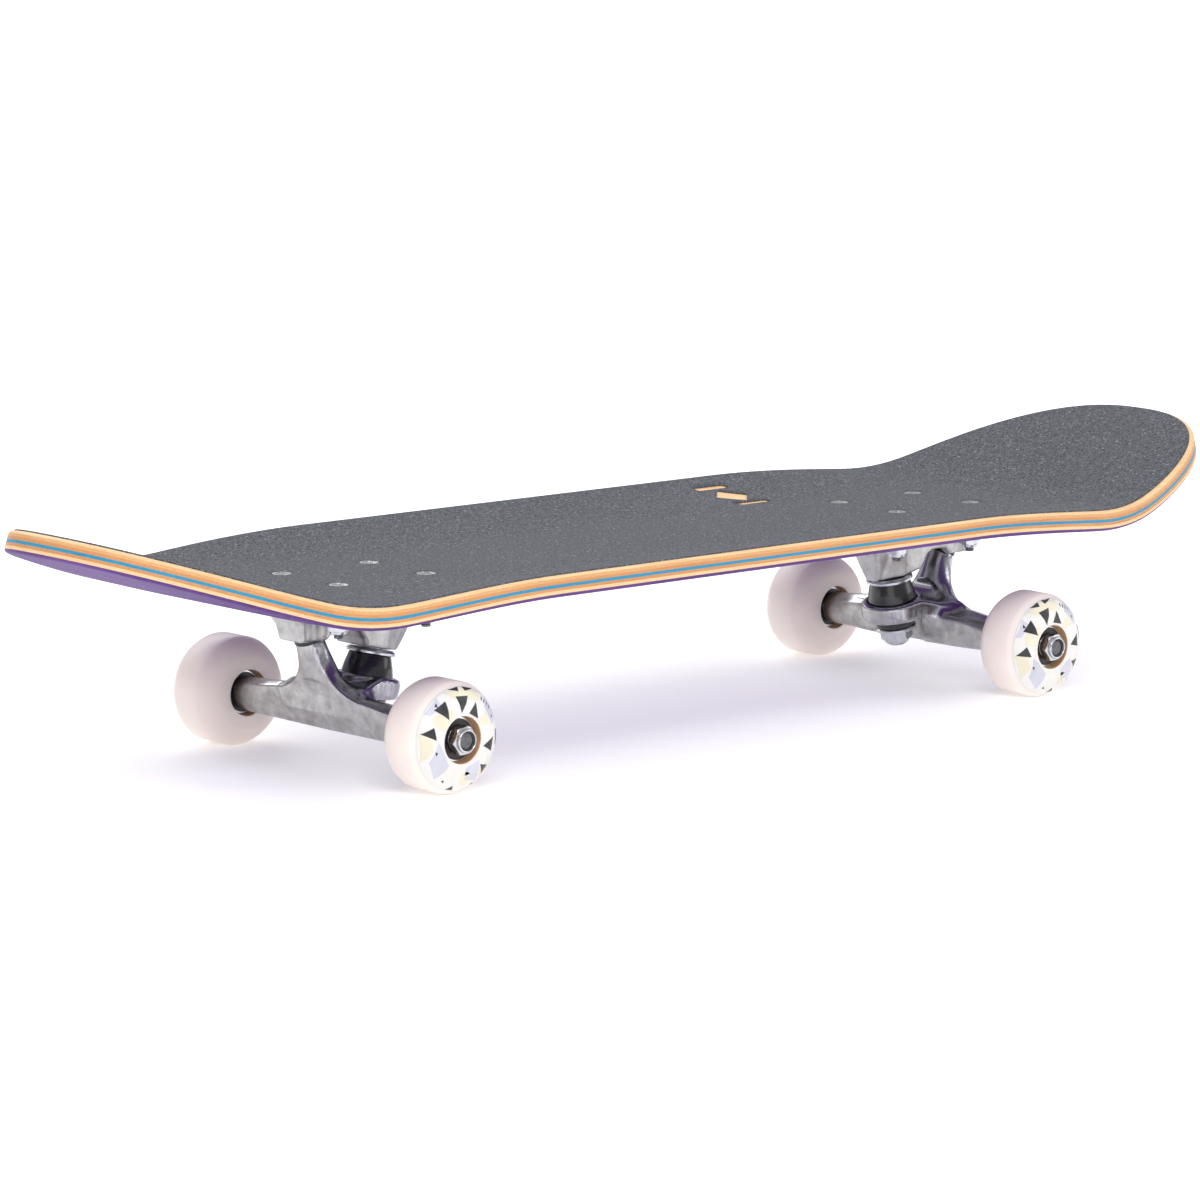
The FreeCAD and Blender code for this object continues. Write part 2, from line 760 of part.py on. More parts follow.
def make_axle_parts(end, frame):
    """The axle and everything that is clamped on it and turns with the hanger."""
    axle = (float(dim("axle_offset")), float(dim("wheel_diameter")) / 2)
    inner, outer = axle_stack()
    thick = dim("speed_washer_thickness")
    half_axle = dim("axle_length") / 2
    tip = dim("axle_diameter") / 2
    bar = turned(f"{end}_axle", [
        (0.0, -half_axle), (tip - 0.8, -half_axle), (tip, -half_axle + 0.8), (tip, half_axle - 0.8),
        (tip - 0.8, half_axle), (0.0, half_axle),
    ])
    keep(bar, f"{end}_axle", frame.multiply(place(axle[0], 0, axle[1], ALONG["+Y"])))
    nuts, washers, spacers, races = [], [], [], []
    bore = dim("bearing_bore") / 2
    for side, way, sign in (("left", "+Y", 1), ("right", "-Y", -1)):
        name = f"{end}_{side}"

        def on_axle(distance):
            return frame.multiply(place(axle[0], sign * float(distance), axle[1], ALONG[way]))

        nut = make_axle_nut(name + "_axle_nut")
        nut.Placement = on_axle(outer + thick)
        nuts.append(nut)
        for tag, start in (("inner", inner - thick), ("outer", outer)):
            washers.append(tube(f"{name}_{tag}_speed_washer", dim("speed_washer_diameter") / 2, bore, thick,
                                on_axle(start)))
        spacers.append(tube(name + "_spacer", dim("spacer_diameter") / 2, bore, dim("bearing_spread"),
                            on_axle(inner + dim("bearing_width"))))
        for tag, start in (("inner", inner), ("outer", outer - dim("bearing_width"))):
            rim = dim("inner_race_diameter") / 2
            races.append(make_race(f"{name}_{tag}_race", bore, rim, on_axle(start)))
    keep(group(f"{end}_axle_nuts", nuts), f"{end}_axle_nuts")
    keep(group(f"{end}_speed_washers", washers), f"{end}_speed_washers")
    keep(group(f"{end}_bearing_spacers", spacers), f"{end}_bearing_spacers")
    keep(group(f"{end}_bearing_inner_races", races), f"{end}_bearing_inner_races")


def make_race(name, inner, outer, at, shield_seat=None):
    """A bearing race with its ball groove; shield_seat widens the bore at both mouths."""
    width = dim("bearing_width")
    ring = tube(name + "_ring", outer, inner, width)
    groove = add("Part::Torus", name + "_groove", place(0, 0, float(width) / 2),
                 Radius1=dim("ball_circle") / 2, Radius2=dim("ball_diameter") / 2 + 0.06)
    tools = [groove]
    if shield_seat is not None:
        tools.append(cylinder(name + "_low_seat", shield_seat, 1.6, place(0, 0, -1.0)))
        tools.append(cylinder(name + "_high_seat", shield_seat, 1.6, place(0, 0, float(width) - 0.6)))
    race = cut(name, ring, fuse(name + "_cuts", *tools) if len(tools) > 1 else groove)
    race.Placement = at
    return race


def make_truck(end, frame):
    keep(make_baseplate(f"{end}_baseplate"), f"{end}_baseplate", frame)
    keep(make_kingpin(f"{end}_kingpin"), f"{end}_kingpin", frame)
    nut = cut(
        f"{end}_kingpin_nut",
        hexagon(f"{end}_kingpin_nut_hex", dim("kingpin_nut_width"), dim("kingpin_nut_depth"),
                down_kingpin(ROAD_WASHER_END)),
        cylinder(f"{end}_kingpin_nut_thread", dim("kingpin_diameter") / 2 + 0.02, 20.0,
                 down_kingpin(ROAD_WASHER_END - 5.0)),
    )
    keep(nut, f"{end}_kingpin_nut", frame)
    for label, piece in (
        ("pivot_cup", make_pivot_cup(f"{end}_pivot_cup")),
        ("board_washer", make_washer(
            f"{end}_board_washer", dim("cup_washer_diameter"), BLOCK_END, CUP_WASHER_RIM)),
        ("board_bushing", make_bushing(
            f"{end}_board_bushing", CUP_WASHER_END - CUP_WASHER_RIM, RING_TOP + SEAT_DEPTH,
            dim("bushing_end_diameter") / 2, dim("board_bushing_diameter") / 2)),
        ("road_bushing", make_bushing(
            f"{end}_road_bushing", RING_BOTTOM - SEAT_DEPTH, ROAD_WASHER_TOP,
            dim("road_bushing_diameter") / 2, dim("bushing_end_diameter") / 2)),
        ("road_washer", make_washer(f"{end}_road_washer", dim("flat_washer_diameter"), ROAD_WASHER_TOP)),
    ):
        keep(piece, f"{end}_{label}", frame.multiply(piece.Placement))
    keep(make_hanger(f"{end}_hanger"), f"{end}_hanger", frame)
    make_axle_parts(end, frame)


# ---------------------------------------------------------------- wheels


def wheel_frames():
    """Each wheel's name and the placement of its frame: Z along the axle, out of the outer face."""
    reach = float(dim("truck_spacing") / 2 + dim("axle_offset"))
    out = float(dim("wheel_offset"))
    height = float(dim("wheel_diameter")) / 2
    for end, along in (("front", 1), ("rear", -1)):
        for side, across, way in (("left", 1, "+Y"), ("right", -1, "-Y")):
            yield f"{end}_{side}", place(along * reach, across * out, height, ALONG[way])


def make_wheel(name, frame):
    """Urethane wheel with rounded lips and a stepped bore for two bearings."""
    rim = dim("wheel_diameter") / 2
    half = dim("wheel_width") / 2
    tread = dim("tread_width") / 2
    face = dim("face_radius")
    seat = dim("bearing_outside") / 2
    rib = dim("hub_rib_diameter") / 2
    step = dim("bearing_spread") / 2
    lip = dim("lip_radius")
    wheel = turned(f"{name}_wheel", [
        (seat, -half + 0.8), (seat + 0.8, -half), (face, -half, lip), (rim, -tread), (rim, tread, lip),
        (face, half), (seat + 0.8, half), (seat, half - 0.8), (seat, step), (rib, step), (rib, -step),
        (seat, -step),
    ])
    keep(wheel, f"{name}_wheel", frame)


def make_bearings(name, frame):
    """The parts of a wheel's two bearings that turn with the wheel or between the races."""
    width = dim("bearing_width")
    step = dim("bearing_spread") / 2
    shield_seat = dim("shield_seat_diameter") / 2
    thin, inset = dim("shield_thickness"), dim("shield_inset")
    cage_height = dim("cage_height")
    ball = dim("ball_diameter") / 2
    outer_races, shields, balls, cages = [], [], [], []
    for tag, start in (("inner", -step - width), ("outer", step)):
        bearing = f"{name}_{tag}_bearing"
        at = frame.multiply(place(0, 0, start))
        outer_races.append(make_race(
            bearing + "_outer_race", dim("outer_race_bore") / 2, dim("bearing_outside") / 2, at, shield_seat))
        for number, height in ((1, inset), (2, width - inset - thin)):
            shields.append(tube(f"{bearing}_shield_{number}", shield_seat, dim("shield_bore") / 2, thin,
                                at.multiply(place(0, 0, height))))
        centre = at.multiply(place(0, 0, float(width) / 2))
        pockets = []
        for number in range(int(float(dim("ball_count")))):
            turn = 2 * math.pi * (number + 0.5) / float(dim("ball_count"))
            outwards = Rotation(Vector(0, 0, 1), Vector(math.cos(turn), math.sin(turn), 0))
            spot = outwards.multVec(Vector(0, 0, float(dim("ball_circle")) / 2))
            balls.append(sphere(f"{bearing}_ball_{number}", ball, centre.multiply(place(*spot))))
            pockets.append(cylinder(f"{bearing}_pocket_{number}", ball + 0.05, dim("bearing_outside") / 2,
                                    place(rotation=outwards)))
        band = tube(bearing + "_band", dim("cage_outside") / 2, dim("cage_inside") / 2, cage_height,
                    place(0, 0, -cage_height.value / 2))
        cage = cut(bearing + "_cage", band, fuse(bearing + "_pockets", *pockets))
        cage.Placement = centre
        cages.append(cage)
    keep(group(f"{name}_bearing_outer_races", outer_races), f"{name}_bearing_outer_races")
    keep(group(f"{name}_bearing_shields", shields), f"{name}_bearing_shields")
    keep(group(f"{name}_bearing_balls", balls), f"{name}_bearing_balls")
    keep(group(f"{name}_bearing_cages", cages), f"{name}_bearing_cages")


# ---------------------------------------------------------------- build, check and write

make_deck()
make_deck_bolts()
for truck_end, truck_frame in truck_frames():
    make_truck(truck_end, truck_frame)
for wheel_name, wheel_frame in wheel_frames():
    make_wheel(wheel_name, wheel_frame)
    make_bearings(wheel_name, wheel_frame)
DOC.recompute()

failed = [item.Label for item in DOC.Objects if {"Invalid", "Error"} & set(item.State)]
assert not failed, f"failed objects: {failed}"
for part in sub_parts:
    assert not part.Shape.isNull() and part.Shape.isValid(), f"bad shape: {part.Label}"
    assert part.Shape.Solids and part.Shape.Volume > 0, f"no solid: {part.Label}"

os.makedirs("parts", exist_ok=True)
for part in sub_parts:
    part.Shape.exportStep(f"parts/{part.Label}.step")
    box = part.Shape.BoundBox
    print(f"{part.Label:32s} solids {len(part.Shape.Solids):2d}  volume {part.Shape.Volume:10.1f}  "
          f"X {box.XMin:7.1f} {box.XMax:7.1f}  Y {box.YMin:7.1f} {box.YMax:7.1f}  "
          f"Z {box.ZMin:6.1f} {box.ZMax:6.1f}")
print(len(sub_parts), "sub-parts")
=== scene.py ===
"""Looks of a complete skateboard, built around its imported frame.

Blender works in metres. The sizes named here are millimetres, in the board's own frame: +X to the
nose, +Y to the rider's left, +Z up and the ground at Z = 0. A truck's shapes are in the truck's frame:
the middle of its four bolts on the ground, with its first axis pointing outboard.
"""
import math

import bmesh
import bpy
import numpy as np
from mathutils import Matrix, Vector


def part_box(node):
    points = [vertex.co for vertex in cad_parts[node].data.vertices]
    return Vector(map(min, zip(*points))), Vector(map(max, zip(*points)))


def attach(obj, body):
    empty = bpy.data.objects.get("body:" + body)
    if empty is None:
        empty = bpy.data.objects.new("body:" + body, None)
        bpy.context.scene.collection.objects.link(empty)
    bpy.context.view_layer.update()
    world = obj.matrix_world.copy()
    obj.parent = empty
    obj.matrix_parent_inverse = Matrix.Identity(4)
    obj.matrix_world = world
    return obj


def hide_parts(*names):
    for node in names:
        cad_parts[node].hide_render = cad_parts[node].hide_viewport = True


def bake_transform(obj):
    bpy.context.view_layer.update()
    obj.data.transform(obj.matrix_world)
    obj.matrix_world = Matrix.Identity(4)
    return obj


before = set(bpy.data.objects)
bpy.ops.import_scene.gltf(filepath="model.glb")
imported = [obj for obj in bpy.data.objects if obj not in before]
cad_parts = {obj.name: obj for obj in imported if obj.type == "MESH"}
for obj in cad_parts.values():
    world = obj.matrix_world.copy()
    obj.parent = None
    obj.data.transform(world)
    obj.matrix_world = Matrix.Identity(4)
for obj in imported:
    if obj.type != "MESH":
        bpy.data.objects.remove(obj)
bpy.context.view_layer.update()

import openvdb
from mathutils import Matrix, Vector

MM = 0.001
SCENE = bpy.context.scene


def node_box(node):
    """A CAD node's lowest and highest corner, in millimetres."""
    low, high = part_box(node)
    return np.array(low) / MM, np.array(high) / MM


# ---------------------------------------------------------------- sizes taken from the frame

WHEEL_LOW, WHEEL_HIGH = node_box("front_right_wheel")
WHEEL_RADIUS = (WHEEL_HIGH[2] - WHEEL_LOW[2]) / 2
WHEEL_HALF = (WHEEL_HIGH[1] - WHEEL_LOW[1]) / 2
WHEEL_OUT = -(WHEEL_HIGH[1] + WHEEL_LOW[1]) / 2
WHEEL_ALONG = (WHEEL_HIGH[0] + WHEEL_LOW[0]) / 2
AXLE_LOW, AXLE_HIGH = node_box("front_axle")
AXLE_HALF = AXLE_HIGH[1]
AXLE_RADIUS = (AXLE_HIGH[2] - AXLE_LOW[2]) / 2
AXLE_OFFSET = 13.2            # the axle lies this far outboard of the middle of the truck's bolts
TRUCK_ALONG = WHEEL_ALONG - AXLE_OFFSET
DECK_BOTTOM = node_box("front_baseplate")[1][2]
GRIP_TOP = node_box("deck_bolts")[1][2]
HANGER_HALF = node_box("front_hanger")[1][1]

# ---------------------------------------------------------------- meshes


class Shape:
    """Vertices in millimetres, with faces and a material number for each face."""

    def __init__(self, verts, faces, materials=0):
        self.verts = np.asarray(verts, float).reshape(-1, 3)
        self.faces = [tuple(face) for face in faces]
        self.materials = [materials] * len(self.faces) if isinstance(materials, int) else list(materials)

    def moved(self, matrix):
        """A copy placed by a 4 by 4 matrix."""
        matrix = np.array(matrix)
        verts = self.verts @ matrix[:3, :3].T + matrix[:3, 3]
        return Shape(verts, self.faces, self.materials)


def joined(shapes):
    """Several shapes as one."""
    verts, faces, materials, start = [], [], [], 0
    for shape in shapes:
        verts.append(shape.verts)
        faces += [tuple(index + start for index in face) for face in shape.faces]
        materials += shape.materials
        start += len(shape.verts)
    return Shape(np.vstack(verts), faces, materials)


def make(name, shape, materials, sharp=38.0, outward=True):
    """A Blender object from a shape. Edges that turn by more than the angle stay crisp."""
    mesh = bpy.data.meshes.new(name)
    mesh.from_pydata((shape.verts * MM).tolist(), [], shape.faces)
    mesh.polygons.foreach_set("material_index", shape.materials)
    mesh.polygons.foreach_set("use_smooth", [True] * len(shape.faces))
    if outward:
        work = bmesh.new()
        work.from_mesh(mesh)
        bmesh.ops.recalc_face_normals(work, faces=work.faces)
        work.to_mesh(mesh)
        work.free()
    mesh.set_sharp_from_angle(angle=math.radians(sharp))
    for material in materials:
        mesh.materials.append(material)
    thing = bpy.data.objects.new(name, mesh)
    SCENE.collection.objects.link(thing)
    return thing


def finish_piece(thing, body, node):
    """The piece rides on a body and stands for a CAD node."""
    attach(thing, body)
    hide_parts(node)


def rounded(corners, steps=6):
    """A closed outline's points. A corner (x, y, radius) is rounded off, and (x, y) stays crisp."""
    points = []
    count = len(corners)
    for index, corner in enumerate(corners):
        here = np.array(corner[:2], float)
        if len(corner) == 2:
            points.append(here)
            continue
        before = np.array(corners[index - 1][:2], float) - here
        after = np.array(corners[(index + 1) % count][:2], float) - here
        before /= np.linalg.norm(before)
        after /= np.linalg.norm(after)
        half = math.acos(np.clip(before @ after, -1, 1)) / 2
        reach = corner[2] / math.tan(half)
        middle = here + (before + after) / np.linalg.norm(before + after) * corner[2] / math.sin(half)
        start, end = here + before * reach - middle, here + after * reach - middle
        sweep = math.pi - 2 * half
        side = math.copysign(1, start[0] * end[1] - start[1] * end[0])
        for step in range(steps + 1):
            angle = side * sweep * step / steps
            turn = np.array([[math.cos(angle), -math.sin(angle)], [math.sin(angle), math.cos(angle)]])
            points.append(middle + turn @ start)
    return [tuple(point) for point in points]


def ring_at(radius, height, angles):
    """A ring of points about the Z axis. Its radius may differ from point to point."""
    return np.stack([radius * np.cos(angles), radius * np.sin(angles), np.full(len(angles), height)], axis=1)


def full_turn(segments):
    """Evenly spaced angles round a circle."""
    return np.arange(segments) * 2 * math.pi / segments


def rings_to_shape(rings, material=0, closed=True):
    """Joins rings of points, each a full circle or one point on the axis, into a skin."""
    starts = np.cumsum([0] + [len(ring) for ring in rings]).tolist()
    pairs = [(number, number + 1) for number in range(len(rings) - 1)]
    if closed:
        pairs.append((len(rings) - 1, 0))
    faces = []
    for first, second in pairs:
        a, count_a = starts[first], len(rings[first])
        b, count_b = starts[second], len(rings[second])
        segments = max(count_a, count_b)
        if segments == 1:
            continue
        for number in range(segments):
            following = (number + 1) % segments
            corners = [a + number % count_a, a + following % count_a,
                       b + following % count_b, b + number % count_b]
            faces.append(list(dict.fromkeys(corners)))
    return Shape(np.vstack(rings), faces, material)


def lathe(outline, segments=96, material=0):
    """A solid of revolution about the Z axis from a closed outline of (radius, height)."""
    angles = full_turn(segments)
    return rings_to_shape([
        ring_at(radius, height, angles) if radius > 1e-6 else np.array([[0.0, 0.0, height]])
        for radius, height in outline], material)


def tube(inner, outer, low, high, bevel=None, segments=64, material=0):
    """A ring of rectangular section about the Z axis, or a rod when inner is 0."""
    rim = [bevel] if bevel else []
    corners = [(inner, low), (outer, low, *rim), (outer, high, *rim), (inner, high)]
    return lathe(rounded(corners), segments, material)


def hexagonal(width, bore, bottom, top, low_cut, high_cut, segments=96):
    """A hexagonal nut or bolt head. Its corners are turned off over the cuts' heights at its two ends."""
    angles = full_turn(segments)
    sixth = math.pi / 3
    flats = width / 2 / np.cos((angles + sixth / 2) % sixth - sixth / 2)
    least, most = width / 2 * 0.965, width / math.sqrt(3) + 0.01     # radii over which the cut runs
    steps = 6
    growth = [(step / steps, least + (most - least) * math.sqrt(step / steps)) for step in range(steps + 1)]
    levels = [(bottom + low_cut * share, limit) for share, limit in growth]
    levels += [(top - high_cut * share, limit) for share, limit in reversed(growth)]
    outside = [ring_at(np.minimum(flats, limit), height, angles) for height, limit in levels]
    return rings_to_shape([ring_at(bore, bottom, angles)] + outside + [ring_at(bore, top, angles)])


def threaded(radius, bottom, top, pitch, depth, segments=36):
    """A threaded rod about the Z axis, with its ends chamfered."""
    per_turn = 6
    count = int(round((top - bottom) / pitch * per_turn))
    angles = full_turn(segments)
    rings = [np.array([[0.0, 0.0, bottom]])]
    for height in np.linspace(bottom, top, count + 1):
        wave = 0.5 + 0.5 * np.cos(2 * math.pi * height / pitch - angles)
        near_end = min(height - bottom, top - height)
        relief = max(0.0, 1.0 - near_end / (depth * 1.6))
        rings.append(ring_at(radius - depth * np.maximum(wave, relief), height, angles))
    rings.append(np.array([[0.0, 0.0, top]]))
    return rings_to_shape(rings, closed=False)


# ---------------------------------------------------------------- materials


class Paint:
    """A material with short calls for its nodes. Coordinates are millimetres in the piece's own space."""

    def __init__(self, name, **settings):
        self.material = bpy.data.materials.new(name)
        self.material.use_nodes = True
        self.tree = self.material.node_tree
        self.shader = self.tree.nodes["Principled BSDF"]
        for key, value in settings.items():
            self.shader.inputs[key.replace("_", " ").title()].default_value = value
        self.place = self.tree.nodes.new("ShaderNodeTexCoord").outputs["Object"]

    def node(self, kind, links=(), values=(), **settings):
        """A node, with the sources and the fixed values of its sockets."""
        made = self.tree.nodes.new(kind)
        for key, value in settings.items():
            setattr(made, key, value)
        for socket, value in dict(values).items():
            made.inputs[socket].default_value = value
        for socket, source in dict(links).items():
            self.tree.links.new(source, made.inputs[socket])
        return made

    def stretched(self, x, y, z):
        """Coordinates that count in steps of the given lengths, in millimetres."""
        return self.node("ShaderNodeMapping", {"Vector": self.place},
                         {"Scale": (1 / (x * MM), 1 / (y * MM), 1 / (z * MM))}).outputs["Vector"]

    def noise(self, steps, detail=3.0, rough=0.5):
        """Noise between 0 and 1, with features of the given lengths."""
        return self.node("ShaderNodeTexNoise", {"Vector": self.stretched(*steps)},
                         {"Scale": 1.0, "Detail": detail, "Roughness": rough}).outputs["Fac"]

    def spread(self, source, low, high, start=0.0, end=1.0):
        """Maps low..high of a value to start..end."""
        return self.node("ShaderNodeMapRange", {"Value": source}, {
            "From Min": low, "From Max": high, "To Min": start, "To Max": end}).outputs["Result"]

    def blend(self, share, first, second):
        """A colour between two, each a colour or another node's output."""
        mix = self.node("ShaderNodeMix", {"Factor": share}, data_type="RGBA")
        for number, colour in ((6, first), (7, second)):
            if isinstance(colour, tuple):
                mix.inputs[number].default_value = (*colour, 1.0)
            else:
                self.tree.links.new(colour, mix.inputs[number])
        return mix.outputs[2]

    def attribute(self, name):
        """A number that the mesh holds at each of its points."""
        return self.node("ShaderNodeAttribute", attribute_name=name).outputs["Fac"]

    def use(self, socket, source):
        """Feeds a source into the shader."""
        self.tree.links.new(source, self.shader.inputs[socket])

    def bump(self, height, distance, strength=1.0):
        """Small relief, in millimetres."""
        values = {"Distance": distance * MM, "Strength": strength}
        made = self.node("ShaderNodeBump", {"Height": height}, values)
        self.use("Normal", made.outputs["Normal"])


def linear(red, green, blue):
    """A screen colour, 0 to 255 and brighter than 10, as linear light."""
    return tuple(((part / 255 + 0.055) / 1.055) ** 2.4 for part in (red, green, blue))


def wood(name, light, dark, lengthwise, rough=0.5):
    """A veneer seen on its edge and its face: streaks along its grain, pores across it."""
    paint = Paint(name, roughness=rough)
    if lengthwise:
        streaks, fine = (34.0, 1.1, 0.45), (9.0, 0.32, 0.22)
    else:
        streaks, fine = (1.3, 34.0, 0.5), (0.35, 9.0, 0.22)
    figure = paint.noise(streaks, 4.0, 0.6)
    pores = paint.noise(fine, 2.0, 0.6)
    patches = paint.noise((60.0, 30.0, 8.0), 2.0)
    shade = tuple(part * 0.72 for part in dark)
    glow = tuple(part * 1.08 for part in light)
    colour = paint.blend(paint.spread(figure, 0.35, 0.68), light, dark)
    colour = paint.blend(paint.spread(pores, 0.58, 0.8, 0.0, 0.55), colour, shade)
    colour = paint.blend(paint.spread(patches, 0.35, 0.75, 0.0, 0.35), colour, glow)
    paint.use("Base Color", colour)
    paint.use("Roughness", paint.spread(pores, 0.3, 0.8, rough - 0.06, rough + 0.12))
    paint.bump(pores, 0.03, 0.6)
    return paint.material


def lacquered_ply():
    """The bottom ply: stained violet, with a dull sheen."""
    paint = Paint("ply_violet", roughness=0.6)
    paint.shader.inputs["Specular IOR Level"].default_value = 0.25
    figure = paint.noise((55.0, 1.6, 0.6), 4.0, 0.6)
    clouds = paint.noise((90.0, 45.0, 30.0), 2.0)
    colour = paint.blend(paint.spread(figure, 0.32, 0.7), (0.125, 0.050, 0.235), (0.062, 0.026, 0.135))
    colour = paint.blend(paint.spread(clouds, 0.4, 0.8, 0.0, 0.5), colour, (0.19, 0.085, 0.33))
    paint.use("Base Color", colour)
    paint.bump(figure, 0.02, 0.4)
    return paint.material


def grit():
    """Griptape: black mineral grit in resin, grey with dust, with bright facets here and there."""
    paint = Paint("griptape", roughness=0.86)
    grain = paint.noise((1.0, 1.0, 1.0), 2.0, 0.75)
    coarse = paint.noise((2.6, 2.6, 2.6), 3.0, 0.7)
    cells = paint.node("ShaderNodeTexVoronoi", {"Vector": paint.stretched(0.85, 0.85, 0.85)}, {"Scale": 1.0})
    wear = paint.noise((120.0, 60.0, 60.0), 3.0, 0.55)
    colour = paint.blend(paint.spread(grain, 0.36, 0.66), (0.014, 0.016, 0.021), (0.165, 0.175, 0.205))
    colour = paint.blend(paint.spread(coarse, 0.4, 0.66, 0.0, 0.5), colour, (0.026, 0.029, 0.037))
    colour = paint.blend(paint.spread(wear, 0.5, 0.8, 0.0, 0.12), colour, (0.15, 0.155, 0.17))
    lots = paint.node("ShaderNodeSeparateColor", {"Color": cells.outputs["Color"]}).outputs["Red"]
    sparkle = paint.spread(lots, 0.955, 1.03)
    colour = paint.blend(sparkle, colour, (0.32, 0.33, 0.36))
    paint.use("Base Color", colour)
    paint.use("Roughness", paint.spread(sparkle, 0.0, 1.0, 0.88, 0.42))
    relief = paint.node("ShaderNodeMath", {0: grain, 1: cells.outputs["Distance"]}, operation="ADD")
    paint.bump(relief.outputs[0], 0.16, 0.8)
    return paint.material


def cast_aluminium():
    """Tumbled casting with polished flanks where the attribute says so. There its colour is darker and tinted
    violet, a painted reflection of the deck's underside.
    """
    paint = Paint("cast_aluminium", metallic=1.0)
    sand = paint.noise((0.9, 0.9, 0.9), 4.0, 0.65)
    cloud = paint.noise((7.0, 7.0, 7.0), 4.0, 0.6)
    streak = paint.noise((2.4, 0.5, 9.0), 3.0, 0.6)
    polish_and_painted_reflection = paint.attribute("polish_and_painted_reflection")
    matt = paint.blend(paint.spread(cloud, 0.35, 0.68), (0.60, 0.595, 0.585), (0.40, 0.395, 0.39))
    matt = paint.blend(paint.spread(sand, 0.5, 0.75, 0.0, 0.55), matt, (0.30, 0.30, 0.30))
    # Polished colour: darker and tinted violet, a painted reflection of the deck's violet underside over the
    # real polish.
    bright = paint.blend(paint.spread(streak, 0.35, 0.7), (0.50, 0.50, 0.53), (0.30, 0.295, 0.33))
    paint.use("Base Color", paint.blend(polish_and_painted_reflection, matt, bright))
    rough_cast = paint.spread(cloud, 0.3, 0.7, 0.36, 0.50)
    rough_shine = paint.spread(streak, 0.3, 0.7, 0.13, 0.27)
    ends = {"Factor": polish_and_painted_reflection, "A": rough_cast, "B": rough_shine}
    paint.use("Roughness", paint.node("ShaderNodeMix", ends, data_type="FLOAT").outputs[0])
    paint.bump(sand, 0.05, 0.55)
    return paint.material


def plated(name, light, dark, low, high, mottle=1.6):
    """Bright plated or bare steel, slightly mottled."""
    paint = Paint(name, metallic=1.0)
    cloud = paint.noise((mottle, mottle, mottle), 4.0, 0.65)
    scratch = paint.noise((0.35, 3.5, 0.35), 2.0, 0.5)
    paint.use("Base Color", paint.blend(paint.spread(cloud, 0.35, 0.7), light, dark))
    paint.use("Roughness", paint.spread(cloud, 0.3, 0.72, low, high))
    paint.bump(scratch, 0.012, 0.5)
    return paint.material


def moulded(name, light, dark, rough, grain=0.8, **settings):
    """Moulded urethane or nylon: nearly even, with a faint cloud and skin."""
    paint = Paint(name, roughness=rough, **settings)
    cloud = paint.noise((9.0, 9.0, 9.0), 3.0, 0.5)
    skin = paint.noise((grain, grain, grain), 3.0, 0.6)
    paint.use("Base Color", paint.blend(paint.spread(cloud, 0.3, 0.7), light, dark))
    paint.use("Roughness", paint.spread(skin, 0.3, 0.75, rough - 0.05, rough + 0.08))
    paint.bump(skin, 0.015, 0.5)
    return paint.material


def urethane():
    """Cream wheel urethane."""
    paint = Paint("wheel_urethane", roughness=0.42, subsurface_weight=0.3, subsurface_scale=0.004)
    paint.shader.inputs["Subsurface Radius"].default_value = (1.0, 0.72, 0.55)
    cloud = paint.noise((14.0, 14.0, 14.0), 3.0, 0.5)
    skin = paint.noise((0.7, 0.7, 0.7), 3.0, 0.6)
    cream, pale_cream = (0.90, 0.80, 0.745), (0.93, 0.84, 0.775)
    paint.use("Base Color", paint.blend(paint.spread(cloud, 0.3, 0.7), cream, pale_cream))
    paint.use("Roughness", paint.spread(skin, 0.3, 0.75, 0.36, 0.48))
    paint.bump(skin, 0.012, 0.5)
    return paint.material


MAPLE = linear(234, 199, 152), linear(218, 174, 124)
AMBER = linear(216, 166, 112), linear(198, 144, 92)
BROWN = linear(205, 146, 92), linear(182, 122, 72)
BLUE = linear(30, 146, 184), linear(22, 118, 156)
PLY_LOOKS = [                 # from the top down: material and slot
    (wood("ply_maple_1", *MAPLE, True), "maple_light"), (wood("ply_amber_2", *AMBER, False), "maple_light"),
    (wood("ply_brown_3", *BROWN, True), "maple_brown"), (wood("ply_blue_4", *BLUE, False), "ply_blue"),
    (wood("ply_brown_5", *BROWN, True), "maple_brown"), (wood("ply_maple_6", *MAPLE, False), "maple_light"),
    (lacquered_ply(), "ply_purple"),
]
GRIT = grit()
CAST = cast_aluminium()
ZINC = plated("zinc_plate", (0.60, 0.62, 0.65), (0.48, 0.50, 0.54), 0.14, 0.26, 3.0)
DARK_ZINC = plated("bolt_plate", (0.36, 0.36, 0.38), (0.22, 0.22, 0.24), 0.30, 0.45)
STEEL = plated("axle_steel", (0.17, 0.17, 0.18), (0.10, 0.10, 0.11), 0.30, 0.45)
RACE = plated("bearing_steel", (0.78, 0.78, 0.79), (0.64, 0.64, 0.66), 0.10, 0.2, 3.0)
BUSHING = moulded("bushing_urethane", (0.010, 0.010, 0.012), (0.014, 0.014, 0.017), 0.2, 6.0, coat_weight=0.3)
NYLON = moulded("nylon_insert", (0.022, 0.022, 0.026), (0.040, 0.040, 0.046), 0.42)
SHIELD = moulded("bearing_shield", (0.016, 0.016, 0.018), (0.030, 0.030, 0.033), 0.36)
CAGE = moulded("bearing_cage", (0.42, 0.24, 0.10), (0.30, 0.17, 0.07), 0.45)
CUP = moulded("pivot_cup", (0.02, 0.02, 0.023), (0.035, 0.035, 0.04), 0.4)
WHEEL = urethane()
